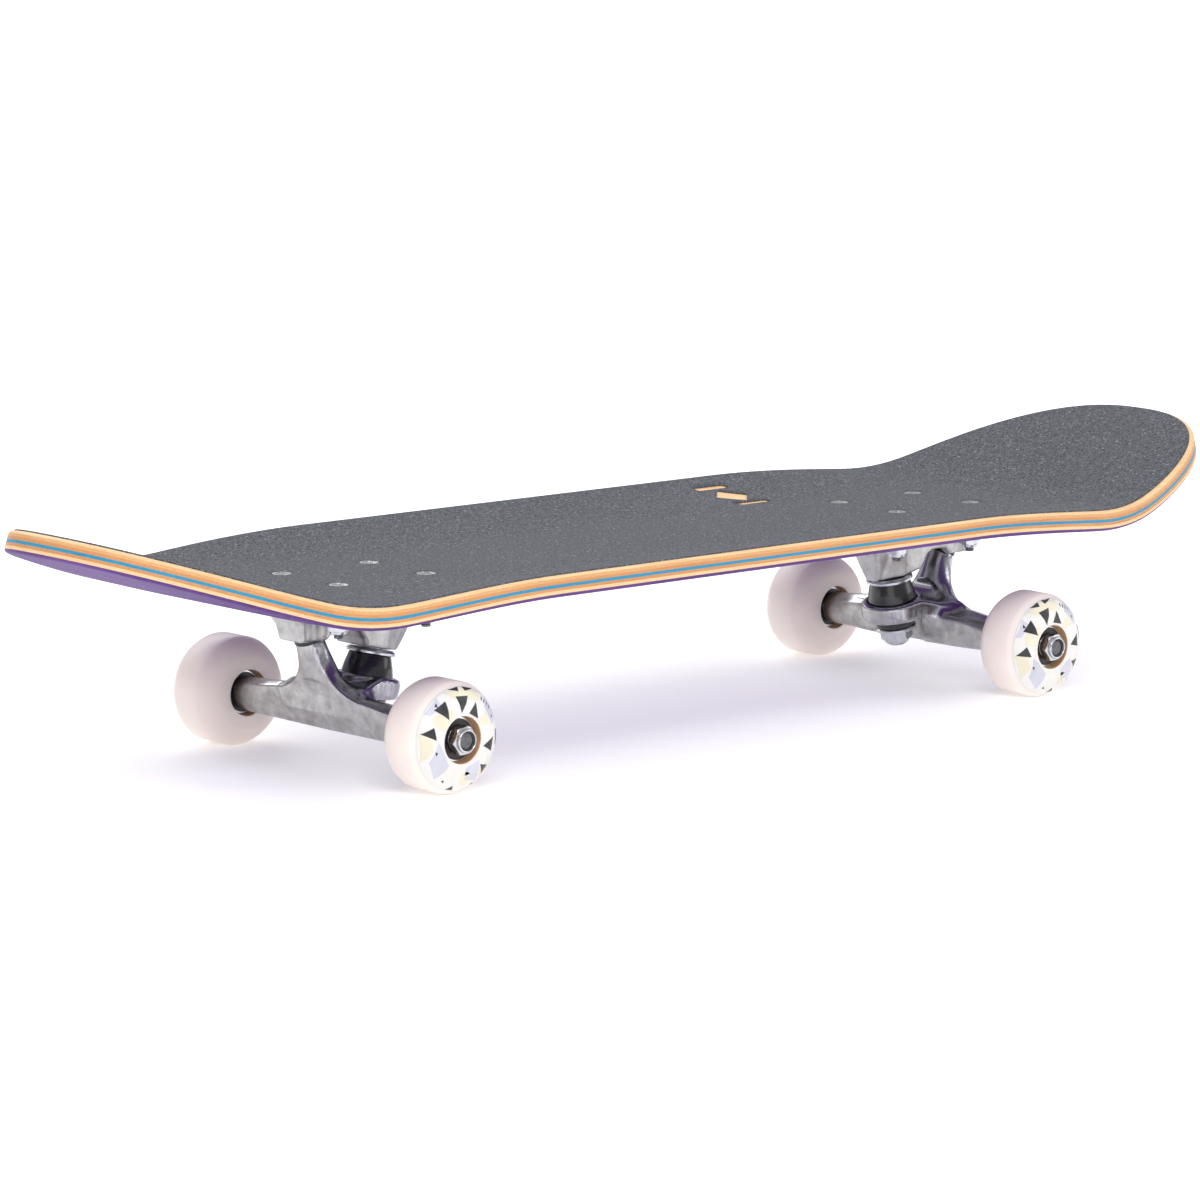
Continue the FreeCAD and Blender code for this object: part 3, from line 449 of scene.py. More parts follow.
# A warm tan for the wheel's bore wall: painted shade of the urethane there.
BORE_PAINTED_SHADE = moulded("wheel_bore_painted_shade", (0.56, 0.33, 0.17), (0.43, 0.25, 0.13), 0.5)
INKS = [
    moulded("ink_ground", (0.78, 0.765, 0.745), (0.74, 0.725, 0.705), 0.38),
    moulded("ink_cream", linear(228, 222, 200), linear(220, 213, 190), 0.38),
    moulded("ink_mist", linear(205, 205, 218), linear(194, 194, 207), 0.38),
    moulded("ink_charcoal", (0.022, 0.022, 0.025), (0.035, 0.035, 0.04), 0.3),
]
SPACER = plated("spacer_aluminium", (0.74, 0.74, 0.75), (0.60, 0.60, 0.62), 0.25, 0.4)

# ---------------------------------------------------------------- deck

DECK_HALF_LENGTH = 372.0      # along the surface
PLY_LOW, PLY_HIGH = node_box("deck_ply_4")
DECK_HALF_WIDTH = (PLY_HIGH[1] - PLY_LOW[1]) / 2
SHOULDER = 177.0              # where the straight sides end
KICK_START = 233.0            # where nose and tail begin to bend up
BEND_RADIUS = 140.0
KICK_ANGLE = math.radians(17.8)
OUTLINE_POWER = 2.45          # of the superellipse round each end
EDGE_RISE = 8.1               # of the long edges over the middle
FLAT_HALF_WIDTH = 30.0
FADE = (140.0, 305.0)         # where that rise fades out towards the ends
PLY = 1.5
PLIES = 7
GRIP = 0.8
WOOD_TOP = DECK_BOTTOM + PLY * PLIES
FLANGE_BOTTOM = DECK_BOTTOM - 6.0
EDGE_ROUND = 2.1              # radius of the deck's rounded upper and lower edge


def deck_points(along, across, depth):
    """Points of the deck at a depth below the top of its wood, square to its curved surface."""
    beyond = np.abs(along) - KICK_START
    bend = np.clip(beyond / BEND_RADIUS, 0, KICK_ANGLE)
    straight = np.maximum(beyond - BEND_RADIUS * KICK_ANGLE, 0)
    x = np.minimum(np.abs(along), KICK_START) + BEND_RADIUS * np.sin(bend) + straight * math.cos(KICK_ANGLE)
    z = BEND_RADIUS * (1 - np.cos(bend)) + straight * math.sin(KICK_ANGLE)
    spread = np.maximum(np.abs(across) - FLAT_HALF_WIDTH, 0) / (DECK_HALF_WIDTH - FLAT_HALF_WIDTH)
    fade = np.clip((np.abs(along) - FADE[0]) / (FADE[1] - FADE[0]), 0, 1)
    rise = EDGE_RISE * spread**2 * (1 - fade * fade * (3 - 2 * fade)) - depth
    end = np.sign(along)
    return np.stack([end * (x - rise * np.sin(bend)), across, WOOD_TOP + z + rise * np.cos(bend)], axis=1)


def half_outline(corner_steps=44, waist_step=7.0):
    """One long side from nose to tail: places along and across, and the outline's outward normal."""
    tip = DECK_HALF_LENGTH - SHOULDER
    power = OUTLINE_POWER
    turn = np.linspace(0, math.pi / 2, corner_steps + 1)
    along = tip * np.cos(turn) ** (2 / power)
    across = DECK_HALF_WIDTH * np.sin(turn) ** (2 / power)
    normal = np.column_stack([along ** (power - 1) / tip**power,
                              across ** (power - 1) / DECK_HALF_WIDTH**power])
    normal /= np.linalg.norm(normal, axis=1)[:, None]
    corner = np.column_stack([along + SHOULDER, across, normal])
    steps = int(2 * SHOULDER / waist_step)
    waist = [(SHOULDER * (1 - 2 * number / steps), DECK_HALF_WIDTH, 0.0, 1.0) for number in range(1, steps)]
    tail = corner[::-1] * np.array([-1, 1, -1, 1])
    return np.vstack([corner, waist, tail])


def deck_ring(inset, depth):
    """The outline drawn in by an inset, all the way round, at a depth."""
    side = half_outline()
    along = side[:, 0] - inset * side[:, 2]
    across = np.maximum(side[:, 1] - inset * side[:, 3], 0.0)
    along = np.concatenate([along, along[-2:0:-1]])
    across = np.concatenate([across, -across[-2:0:-1]])
    return along, across, deck_points(along, across, depth)


def deck_face(inset, depth, columns):
    """The vertices across the deck inside a ring, row by row, and the faces over ring and rows.

    Ring vertices are numbered from 0; the rows' own vertices follow them."""
    along, across = deck_ring(inset, depth)[:2]
    stations = len(along) // 2 + 1
    count = len(along)
    inner, faces, rows = [], [], [[0] * (columns + 1)]
    for station in range(1, stations - 1):
        shares = np.arange(1, columns) / columns
        spread = across[station] * (1 - 2 * shares)
        first = count + len(inner)
        inner += list(deck_points(np.full(columns - 1, along[station]), spread, depth))
        rows.append([station] + list(range(first, first + columns - 1)) + [count - station])
    rows.append([stations - 1] * (columns + 1))
    for before, after in zip(rows, rows[1:]):
        for column in range(columns):
            corners = [before[column], before[column + 1], after[column + 1], after[column]]
            faces.append(list(dict.fromkeys(corners)))
    return np.array(inner), faces


def deck_sheet(levels, columns):
    """A closed sheet of the deck's outline. Each level is (inset, depth); the first is its top."""
    rings = [deck_ring(*level)[2] for level in levels]
    count = len(rings[0])
    verts, faces = list(rings), []
    for number in range(len(rings) - 1):
        for index in range(count):
            following = (index + 1) % count
            faces.append((number * count + index, number * count + following,
                          (number + 1) * count + following, (number + 1) * count + index))
    start = len(rings) * count
    for number, level in ((0, levels[0]), (len(rings) - 1, levels[-1])):
        inner, covered = deck_face(*level, columns)
        for face in covered:
            faces.append([index + (number * count if index < count else start - count) for index in face])
        verts.append(inner)
        start += len(inner)
    return Shape(np.vstack(verts), faces)


def edge_inset(depth):
    """How far the rounded edge stands in from the widest outline, at a depth in the wood."""
    near = min(depth, PLY * PLIES - depth)
    if near >= EDGE_ROUND:
        return 0.0
    return EDGE_ROUND - math.sqrt(EDGE_ROUND**2 - (EDGE_ROUND - near) ** 2)


def make_plies():
    """Seven veneers, each its own sheet. The outer ones follow the rounded edge in finer steps."""
    for number, (paint, slot) in enumerate(PLY_LOOKS):
        top = PLY * number
        steps = 5 if number in (0, 1, 5, 6) else 2
        depths = [top + PLY * step / steps for step in range(steps + 1)]
        insets = [edge_inset(depth) for depth in depths]
        rim = [(max(inset, 0.03), depth) for inset, depth in zip(insets, depths)]
        above = [(insets[0] + inward, top) for inward in (9.0, 3.0)]
        below = [(insets[-1] + inward, top + PLY) for inward in (3.0, 9.0)]
        columns = 20 if number in (0, 6) else 6
        name = f"deck_ply_{number + 1}"
        piece = make(name + "_veneer", deck_sheet(above + rim + below, columns), [paint])
        finish_piece(piece, "deck", name)


def bolt_places():
    """Where the eight deck bolts stand."""
    for end in (1, -1):
        for along in (27.0, -27.0):
            for across in (20.65, -20.65):
                yield end * TRUCK_ALONG + along, across


def prism(outline, low, high):
    """A straight prism over a closed outline of (x, y)."""
    count = len(outline)
    verts = [(x, y, low) for x, y in outline] + [(x, y, high) for x, y in outline]
    faces = [tuple(range(count)), tuple(range(2 * count - 1, count - 1, -1))]
    for index in range(count):
        following = (index + 1) % count
        faces.append((index, following, count + following, count + index))
    return Shape(verts, faces)


def rectangle(middle_x, middle_y, length, width):
    """Corners of a rectangle about its middle."""
    x, y = length / 2, width / 2
    return [(middle_x - x, middle_y - y), (middle_x + x, middle_y - y),
            (middle_x + x, middle_y + y), (middle_x - x, middle_y + y)]


def carve(thing, shape):
    """Cuts a shape out of an object for good."""
    cutter = make("cutter", shape, [])
    cut = thing.modifiers.new("carve", "BOOLEAN")
    cut.operation = "DIFFERENCE"
    cut.solver = "EXACT"
    cut.object = cutter
    carved = bpy.data.meshes.new_from_object(thing.evaluated_get(bpy.context.evaluated_depsgraph_get()))
    thing.modifiers.clear()
    thing.data = carved
    bpy.data.objects.remove(cutter)


def grip_windows():
    """The mark cut out of the griptape: a diamond between two bars."""
    middle, aside, reach = 122.0, 62.0, 11.0
    diamond = [(middle + reach, aside), (middle, aside + reach),
               (middle - reach, aside), (middle, aside - reach)]
    bars = [rounded([(x, y, 1.2) for x, y in rectangle(middle, aside + away, 2 * reach, 5.5)])
            for away in (15.75, -15.75)]
    return [prism(outline, GRIP_TOP - 3, GRIP_TOP + 9) for outline in [diamond] + bars]


def make_griptape():
    """One sheet with its edge filed off, cut out over the bolts and at the mark."""
    edge = EDGE_ROUND + 0.1
    filed = edge + 0.5
    levels = [(filed + 9.0, -GRIP), (filed + 2.5, -GRIP), (filed, -GRIP),
              (edge + 0.12, -GRIP * 0.45), (edge, -0.01), (edge + 3.0, -0.01)]
    piece = make("griptape_sheet", deck_sheet(levels, 28), [GRIT])
    holes = [tube(0, 4.85, -3, 3, segments=48).moved(Matrix.Translation((x, y, GRIP_TOP)))
             for x, y in bolt_places()]
    carve(piece, joined(holes + grip_windows()))
    finish_piece(piece, "deck", "griptape")


# ---------------------------------------------------------------- truck frames

KINGPIN_FOOT = Vector((-16.3, 0, DECK_BOTTOM))
KINGPIN_LEAN = math.radians(12.0)
DOWN = Vector((math.sin(KINGPIN_LEAN), 0, -math.cos(KINGPIN_LEAN)))
ACROSS_KINGPIN = Vector((math.cos(KINGPIN_LEAN), 0, math.sin(KINGPIN_LEAN)))
PIVOT = Vector((29.5, 0, 67.5))
PIVOT_LEAN = math.radians(24.0)
PIVOT_BALL = 5.0
BLOCK_END = 26.0              # distances down the kingpin from the underside of the deck
BOARD_BUSHING = (28.0, 40.7)
RING = (38.7, 49.1)
ROAD_BUSHING = (47.1, 53.1)
ROAD_WASHER_END = 55.1
KINGPIN_NUT_END = 62.1
RING_RADIUS = 16.5


def truck_place(end):
    """The matrix from a truck's frame to the board's: the rear truck is turned half round."""
    out = Matrix.Translation((TRUCK_ALONG, 0, 0))
    return out if end == "front" else Matrix.Rotation(math.pi, 4, "Z") @ out


def kingpin_place(end):
    """The matrix from the kingpin's own frame, whose Z runs down it, to the board's frame."""
    side = DOWN.cross(ACROSS_KINGPIN)
    turn = Matrix((ACROSS_KINGPIN, side, DOWN)).transposed().to_4x4()
    return truck_place(end) @ Matrix.Translation(KINGPIN_FOOT) @ turn


def axle_place(end, side):
    """The matrix from an axle's frame, whose Z runs outboard from its middle to the left or right."""
    way = 1 if side == "left" else -1
    along = WHEEL_ALONG if end == "front" else -WHEEL_ALONG
    return Matrix.Translation((along, 0, WHEEL_RADIUS)) @ Matrix.Rotation(-way * math.pi / 2, 4, "X")


# ---------------------------------------------------------------- castings


def smooth_min(first, second, width):
    """The union of two distance fields with a fillet."""
    share = np.clip(0.5 + 0.5 * (second - first) / width, 0, 1)
    return second + (first - second) * share - width * share * (1 - share)


def smooth_max(first, second, width):
    """The overlap of two distance fields with a rounded edge."""
    return -smooth_min(-first, -second, width)


def ramp(value, start, end):
    """Rises smoothly from 0 to 1 between start and end."""
    share = np.clip((value - start) / (end - start), 0, 1)
    return share * share * (3 - 2 * share)


def rounded_box(past_first, past_second, corner):
    """Distance to a rectangle with rounded corners, from the distances past its two pairs of sides."""
    first, second = past_first + corner, past_second + corner
    outside = np.hypot(np.maximum(first, 0), np.maximum(second, 0))
    return outside + np.minimum(np.maximum(first, second), 0) - corner


def grid(low, high, step):
    """Coordinates of a block of space, one array for each axis."""
    axes = [np.arange(first, last + step, step, dtype=np.float32) for first, last in zip(low, high)]
    return np.meshgrid(*axes, indexing="ij", sparse=True)


def skin(field, low, step):
    """The surface of a distance field as a shape, in the field's own frame."""
    volume = openvdb.FloatGrid(float(3 * step))
    volume.copyFromArray(np.ascontiguousarray(np.clip(field, -3 * step, 3 * step), dtype=np.float32))
    points, quads = volume.convertToQuads(0.0)
    return Shape(points * step + np.array(low), quads[:, ::-1].tolist())


def kingpin_coordinates(u, z):
    """Distance down the kingpin, and across it in the truck's middle plane."""
    down = (u - KINGPIN_FOOT.x) * DOWN.x + (z - KINGPIN_FOOT.z) * DOWN.z
    across = (u - KINGPIN_FOOT.x) * ACROSS_KINGPIN.x + (z - KINGPIN_FOOT.z) * ACROSS_KINGPIN.z
    return down, across


def pivot_coordinates(u, y, z):
    """Distance up the pivot's axis from the middle of its ball, and from that axis."""
    along = (u - PIVOT.x) * math.sin(PIVOT_LEAN) + (z - PIVOT.z) * math.cos(PIVOT_LEAN)
    across = (u - PIVOT.x) * math.cos(PIVOT_LEAN) - (z - PIVOT.z) * math.sin(PIVOT_LEAN)
    return along, np.hypot(across, y)


FACE_LEAN = math.radians(19.8)        # the hanger's flat outboard face
FACE_FOOT = (19.0, 26.0)
WEB_DEPTH = 10.0
SHOULDER_RADIUS = 25.5                # the concave curve between web and arm, and its middle
SHOULDER_OUT = 32.0
SHOULDER_UP = 35.6


def face_coordinates(u, z):
    """Distance outboard of the hanger's flat face, and up along it."""
    out = (u - FACE_FOOT[0]) * math.cos(FACE_LEAN) - (z - FACE_FOOT[1]) * math.sin(FACE_LEAN)
    up = (u - FACE_FOOT[0]) * math.sin(FACE_LEAN) + (z - FACE_FOOT[1]) * math.cos(FACE_LEAN)
    return out, up


def hanger_arms(u, side, z):
    """Two arms of rounded rectangular section that turn round towards the wheels."""
    share = side / HANGER_HALF
    half_u, half_z = 8.0 - 0.5 * share, 8.75 - 1.25 * share
    corner = 3.2 + 4.3 * ramp(share, 0.5, 1.0)
    past_u = np.abs(u - 13.0 - 0.2 * share) - half_u
    past_z = np.abs(z - 26.75 + 0.25 * share) - half_z
    arm = rounded_box(past_u, past_z, corner)
    arm = smooth_max(arm, face_coordinates(u, z)[0] - 2.4 * ramp(share, 0.55, 1.0), 1.4)
    return smooth_max(arm, side - HANGER_HALF, 1.4)


def hanger_web(u, side, z):
    """The leaning web: flat outboard, rounded inboard, with a concave shoulder on each side."""
    out, up = face_coordinates(u, z)
    neck = SHOULDER_OUT - SHOULDER_RADIUS
    floor = SHOULDER_UP - SHOULDER_RADIUS
    shoulder = SHOULDER_RADIUS - np.hypot(side - SHOULDER_OUT, up - SHOULDER_UP)
    outline = np.where(side > SHOULDER_OUT, up - floor + (side - SHOULDER_OUT) * 0.13, shoulder)
    outline = np.where(up > SHOULDER_UP, side - neck, outline)
    web = smooth_max(outline, out, 1.1 + 2.4 * np.clip(up / 34.0, 0, 1))
    web = smooth_max(web, -out - WEB_DEPTH, 7.0)
    web = smooth_max(web, up - 38.0, 5.0)
    web = smooth_max(web, -up - 8.0, 2.0)
    to_hub = HANGER_HALF - side
    widest = 7.6 + 0.2 * to_hub + 0.03 * to_hub**2
    return smooth_max(web, np.hypot(u - AXLE_OFFSET, z - WHEEL_RADIUS) - widest, 4.0)


def hanger_saddle(u, y, z):
    """The ring that the bushings sit in, and the bridge that joins it to the web."""
    down, across = kingpin_coordinates(u, z)
    half = (RING[1] - RING[0]) / 2
    level = down - (RING[0] + RING[1]) / 2
    ring = smooth_max(np.hypot(across, y) - RING_RADIUS, np.abs(level) - half, 3.0)
    level = level - np.clip(across - 5.0, 0, 19) * 0.45
    bridge = smooth_max(np.abs(y) - RING_RADIUS - np.clip(across, 0, 30) * 0.26, np.abs(level) - half, 3.2)
    bridge = np.maximum(bridge, np.maximum(-across, across - 24.0))
    return smooth_min(ring, bridge, 1.0)


def hanger_cuts(u, y, z):
    """Bore, the two bushing seats and the room for the nut under the ring."""
    down, across = kingpin_coordinates(u, z)
    radial = np.hypot(across, y)
    cuts = radial - 7.8
    cuts = np.minimum(cuts, np.maximum(radial - 13.3, down - BOARD_BUSHING[1]))
    cuts = np.minimum(cuts, np.maximum(radial - 11.9, ROAD_BUSHING[0] - down))
    return np.minimum(cuts, np.maximum(radial - 13.6, RING[1] - down))


def hanger_shape():
    """The hanger: arms, web, saddle, pivot stem and ball, with a faint parting step low on its face."""
    step = 0.6
    low = (-27.0, -67.0, 14.0)
    u, y, z = grid(low, (42.0, 67.0, 76.0), step)
    side = np.abs(y)
    body = smooth_min(hanger_web(u, side, z), hanger_arms(u, side, z), 3.0)
    body = smooth_min(body, hanger_saddle(u, y, z), 7.0)
    up, around = pivot_coordinates(u, y, z)
    stem = np.maximum(around - 4.1 + (up + 1.0) * 0.1235, np.maximum(up, -up - 22.0))
    body = smooth_min(body, stem, 5.0)
    parting = 0.28 * ramp(-face_coordinates(u, z)[1], 5.2, 5.9) * (1 - ramp(side, 52.0, 60.0))
    body = smooth_max(body + parting, -hanger_cuts(u, y, z), 0.8)
    ball = np.sqrt((u - PIVOT.x) ** 2 + y**2 + (z - PIVOT.z) ** 2) - PIVOT_BALL
    return skin(smooth_min(body, ball, 0.8), low, step)


def polygon_distance(u, z, points):
    """Signed distance to a polygon in the truck's middle plane, negative inside."""
    nearest = np.full(np.broadcast(u, z).shape, 1e9, np.float32)
    inside = np.zeros(nearest.shape, bool)
    for (u0, z0), (u1, z1) in zip(points, points[1:] + points[:1]):
        run, rise = u1 - u0, z1 - z0
        share = np.clip(((u - u0) * run + (z - z0) * rise) / (run**2 + rise**2), 0, 1)
        nearest = np.minimum(nearest, np.hypot(u - u0 - share * run, z - z0 - share * rise))
        if rise:
            crosses = (z0 > z) != (z1 > z)
            inside ^= crosses & (u < run * (z - z0) / rise + u0)
    return np.where(inside, -nearest, nearest)


def baseplate_shape():
    """Flange, prow-shaped kingpin block, arch and pivot block."""
    step = 0.55
    low = (-44.0, -31.0, 50.0)
    u, y, z = grid(low, (46.0, 31.0, DECK_BOTTOM + 3.0), step)
    side = np.abs(y)
    under = FLANGE_BOTTOM
    flange = smooth_max(rounded_box(np.abs(u - 0.5) - 40.5, side - 28.0, 6.0), under - z, 2.6)
    prow = [(-33.0, under + 2), (-23.6, 52.0)]
    arch = [(1.5, 57.4), (3.0, 61.4), (5.6, 64.8), (9.5, 66.6), (20.0, 66.4)]
    pivot_block = [(24.0, 62.6), (39.0, 62.6), (41.5, under + 2)]
    block = polygon_distance(u, z, prow + arch + pivot_block)
    wide = np.interp(u, (-33, -20, 0, 20, 42), (9.0, 14.5, 13.5, 11.5, 11.0))
    narrow = np.interp(u, (-22, -11, 0, 20, 38), (4.5, 11.5, 11.0, 8.5, 7.0))
    share = (z - 52.0) / (under + 1 - 52.0)
    block = smooth_max(block, (side - narrow - (wide - narrow) * share) * 0.95, 2.2)
    flute = np.hypot(u - 31.0, side - 14.5) - 6.2
    block = smooth_max(block, -flute, 1.5)
    plate = smooth_min(flange, block, 2.6)
    up, around = pivot_coordinates(u, y, z)
    cup = np.minimum(np.maximum(around - 7.26, up), np.hypot(around, up) - 7.26)
    seats = np.maximum(np.hypot(np.abs(u) - 27.0, side - 20.65) - 6.75, z - under)
    plate = smooth_max(plate, -np.minimum(cup, seats), 0.8)
    return skin(np.maximum(plate, z - DECK_BOTTOM), low, step)


def mark_points(thing, values):
    """Notes on each point of a casting how polished it is, which also sets how much painted reflection its
    colour takes.
    """
    mark = thing.data.attributes.new("polish_and_painted_reflection", "FLOAT", "POINT")
    mark.data.foreach_set("value", values.astype(np.float32))


def point_rows(points, field):
    """One row of three numbers for each point of a mesh."""
    rows = np.empty(len(points) * 3, np.float32)
    points.foreach_get(field, rows)
    return rows.reshape(-1, 3)


def hanger_polish_and_painted_reflection(thing, end):
    """Flat cast faces stay matt, and swept ones are polished and take the painted reflection, less so near
    the wheels.
    """
    mesh = thing.data
    turn = np.array(truck_place(end).inverted())
    normals = point_rows(mesh.vertex_normals, "vector") @ turn[:3, :3].T
    places = point_rows(mesh.vertices, "co") / MM @ turn[:3, :3].T + turn[:3, 3]
    outboard = normals @ np.array([math.cos(FACE_LEAN), 0, -math.sin(FACE_LEAN)])
    inboard = np.where(places[:, 2] < 40, -normals[:, 0], 0)
    flat = np.maximum(np.maximum(outboard, inboard), -normals[:, 2] * 0.95)
    return (1 - ramp(flat, 0.72, 0.92)) * (1 - 0.65 * ramp(np.abs(places[:, 1]), 46.0, 58.0))


def make_castings():
    """Hanger and baseplate of each truck."""
    hanger, baseplate = hanger_shape(), baseplate_shape()
    for end in ("front", "rear"):
        place = truck_place(end)
        piece = make(f"{end}_hanger_casting", hanger.moved(place), [CAST], sharp=180)
        mark_points(piece, hanger_polish_and_painted_reflection(piece, end))
        finish_piece(piece, f"{end}_truck", f"{end}_hanger")
        piece = make(f"{end}_baseplate_casting", baseplate.moved(place), [CAST], sharp=180)
        # A little polish all over the baseplate, and so a little painted reflection in its colour.
        mark_points(piece, np.full(len(piece.data.vertices), 0.12))
        finish_piece(piece, "deck", f"{end}_baseplate")


# ---------------------------------------------------------------- truck hardware


def turned_piece(name, outline, place, paint):
    """An object turned from an outline and put in its place."""
    return make(name, lathe(rounded(outline)).moved(place), [paint])


def turned_about(degrees):
    """A turn about the Z axis."""
    return Matrix.Rotation(math.radians(degrees), 4, "Z")


KINGPIN_BORE = 4.9
KINGPIN_HEX = 14.3            # across the flats of its head and nut


def make_cup_washers(end):
    """A dished washer at the deck end of the bushings and a flatter one at the road end."""
    bore, high, seat = KINGPIN_BORE, BLOCK_END, BOARD_BUSHING[0]
    dished = [(bore, high), (10.6, high, 0.8), (12.0, high + 1.1, 0.8), (12.0, seat + 0.5, 0.3),
              (11.2, seat + 0.5, 0.3), (10.5, seat, 0.4), (bore, seat)]
    seat, low = ROAD_BUSHING[1], ROAD_WASHER_END
    flatter = [(bore, seat), (9.9, seat, 0.6), (10.5, seat + 0.6, 0.4), (10.5, low, 0.3), (bore, low)]
    for tag, outline in (("board", dished), ("road", flatter)):
        piece = turned_piece(f"{end}_{tag}_cup_washer", outline, kingpin_place(end), ZINC)
        finish_piece(piece, "deck", f"{end}_{tag}_washer")


def make_bushings(end):
    """The two bushings, each baked in place in the board's frame."""
    place = kingpin_place(end)
    truck = f"{end}_truck"
    swell = 0.25
    for tag, (start, stop), first, last, bodies in (
            ("board", BOARD_BUSHING, 10.0, 13.0, ("deck", truck)),
            ("road", ROAD_BUSHING, 11.6, 10.0, (truck, "deck"))):
        waist = ((first + last) / 2 + swell, (start + stop) / 2, 14.0)
        outline = [(KINGPIN_BORE, start), (first, start, 1.0), waist, (last, stop, 1.0), (KINGPIN_BORE, stop)]
        piece = turned_piece(f"{end}_{tag}_urethane", outline, place, BUSHING)
        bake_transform(piece)
        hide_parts(f"{end}_{tag}_bushing")


def make_kingpin(end):
    """The kingpin, a bolt with its head inside the baseplate, and its lock nut."""
    place = kingpin_place(end)
    hex_end, stop = 60.4, KINGPIN_NUT_END
    body = hexagonal(KINGPIN_HEX, 4.75, ROAD_WASHER_END, hex_end, 0.7, 0.7).moved(turned_about(11))
    collar = lathe(rounded([(5.6, hex_end - 0.3), (6.5, hex_end - 0.3), (6.3, stop, 0.8), (5.6, stop, 0.3)]))
    insert = tube(4.7, 5.6, hex_end, stop - 0.4, segments=96, material=1)
    piece = make(f"{end}_kingpin_lock_nut", joined([body, collar, insert]).moved(place), [ZINC, NYLON])
    finish_piece(piece, "deck", f"{end}_kingpin_nut")
    thread = threaded(4.72, 46.0, 63.3, 1.25, 0.5)
    shank = tube(0, 4.7, 6.0, 46.2, segments=48)
    head = hexagonal(KINGPIN_HEX, 0.01, 0.9, 7.2, 0.3, 0.9)
    piece = make(f"{end}_kingpin_bolt", joined([thread, shank, head]).moved(place), [ZINC])
    finish_piece(piece, "deck", f"{end}_kingpin")


def axle_nut(turn):
    """A thin lock nut in the axle's frame."""
    start, hex_end, stop = 90.2, 94.9, 96.6
    body = hexagonal(12.7, AXLE_RADIUS, start, hex_end, 0.8, 1.0).moved(turned_about(turn))
    collar = lathe(rounded([(4.55, hex_end - 0.4), (5.7, hex_end - 0.4),
                            (5.45, stop, 0.7), (4.6, stop, 0.35)]))
    insert = lathe([(AXLE_RADIUS - 0.1, hex_end), (4.6, hex_end), (4.6, stop - 1.0),
                    (AXLE_RADIUS - 0.1, stop - 1.1)], material=1)
    return joined([body, collar, insert])


def make_axle_parts(end):
    """Axle, lock nuts, thin washers and the inner rings of the bearings, with both sides in one piece."""
    rods, nuts, washers, races = [], [], [], []
    for side, turn in (("left", 17), ("right", -23)):
        place = axle_place(end, side)
        rods.append(threaded(AXLE_RADIUS, 86.0, AXLE_HALF, 1.06, 0.42).moved(place))
        rods.append(tube(0, AXLE_RADIUS, 0, 86.2, segments=48).moved(place))
        nuts.append(axle_nut(turn).moved(place))
        for start in (HANGER_HALF, 89.2):
            washers.append(tube(AXLE_RADIUS + 0.1, 5.6, start, start + 1.0, 0.3).moved(place))
        for start in (HANGER_HALF + 1.0, 82.2):
            corners = [(4.0, start), (5.8, start), (5.8, start + 7.0), (4.0, start + 7.0)]
            races.append(lathe(rounded([(*corner, 0.3) for corner in corners]), 64).moved(place))
    for name, parts, paints, node, slot in (
            ("threaded_axle", rods, [STEEL], "axle", "axle_steel"),
            ("axle_lock_nuts", nuts, [ZINC, NYLON], "axle_nuts", "hardware_zinc"),
            ("thin_washers", washers, [ZINC], "speed_washers", "hardware_zinc"),
            ("inner_rings", races, [RACE], "bearing_inner_races", "bearing_steel")):
        finish_piece(make(f"{end}_{name}", joined(parts), paints), f"{end}_truck", f"{end}_{node}")


DECK_NUT = (67.7, 69.1)       # where a deck nut's collar and its hexagon begin
DECK_BOLT_RADIUS = 2.4


def deck_bolt():
    """A countersunk bolt standing on its axis."""
    radius, seam = DECK_BOLT_RADIUS, 69.0
    outline = rounded([(0, GRIP_TOP), (4.7, GRIP_TOP, 0.25), (4.7, GRIP_TOP - 0.4), (radius, GRIP_TOP - 2.6),
                       (radius, seam), (0, seam)])
    return joined([lathe(outline, 64), threaded(radius, 65.6, 69.1, 0.8, 0.3, 24)])


def deck_nut():
    """A lock nut on the same axis, its collar down."""
    low, shoulder = DECK_NUT
    body = hexagonal(9.5, DECK_BOLT_RADIUS, shoulder, FLANGE_BOTTOM, 0.7, 0.7, 72)
    collar = lathe(rounded([(3.3, shoulder + 0.3), (4.25, shoulder + 0.3),
                            (4.1, low, 0.6), (3.3, low, 0.25)]), 64)
    insert = lathe([(2.3, 69.2), (3.3, 69.2), (3.3, 68.1), (2.3, 68.1)], 48, 1)
    return joined([body, collar, insert])


def make_deck_hardware():
    """Countersunk bolts with a cross recess, and their lock nuts, each turned its own way."""
    bolt, nut = deck_bolt(), deck_nut()
    bolts, nuts, slots, crossing_slots = [], [], [], []
    for number, (x, y) in enumerate(bolt_places()):
        place = Matrix.Translation((x, y, 0))
        bolts.append(bolt.moved(place))
        nuts.append(nut.moved(place @ turned_about(13 + 41 * number)))
        recess = Matrix.Translation((x, y, GRIP_TOP)) @ turned_about(25 + 35 * number)
        slots.append(prism(rectangle(0, 0, 4.6, 1.15), -1.5, 1.0).moved(recess))
        crossing_slots.append(prism(rectangle(0, 0, 1.15, 4.6), -1.5, 1.0).moved(recess))
    piece = make("countersunk_bolts", joined(bolts), [DARK_ZINC])
    carve(piece, joined(slots))
    carve(piece, joined(crossing_slots))
    finish_piece(piece, "deck", "deck_bolts")
    finish_piece(make("flange_lock_nuts", joined(nuts), [ZINC, NYLON]), "deck", "deck_nuts")


# ---------------------------------------------------------------- wheels

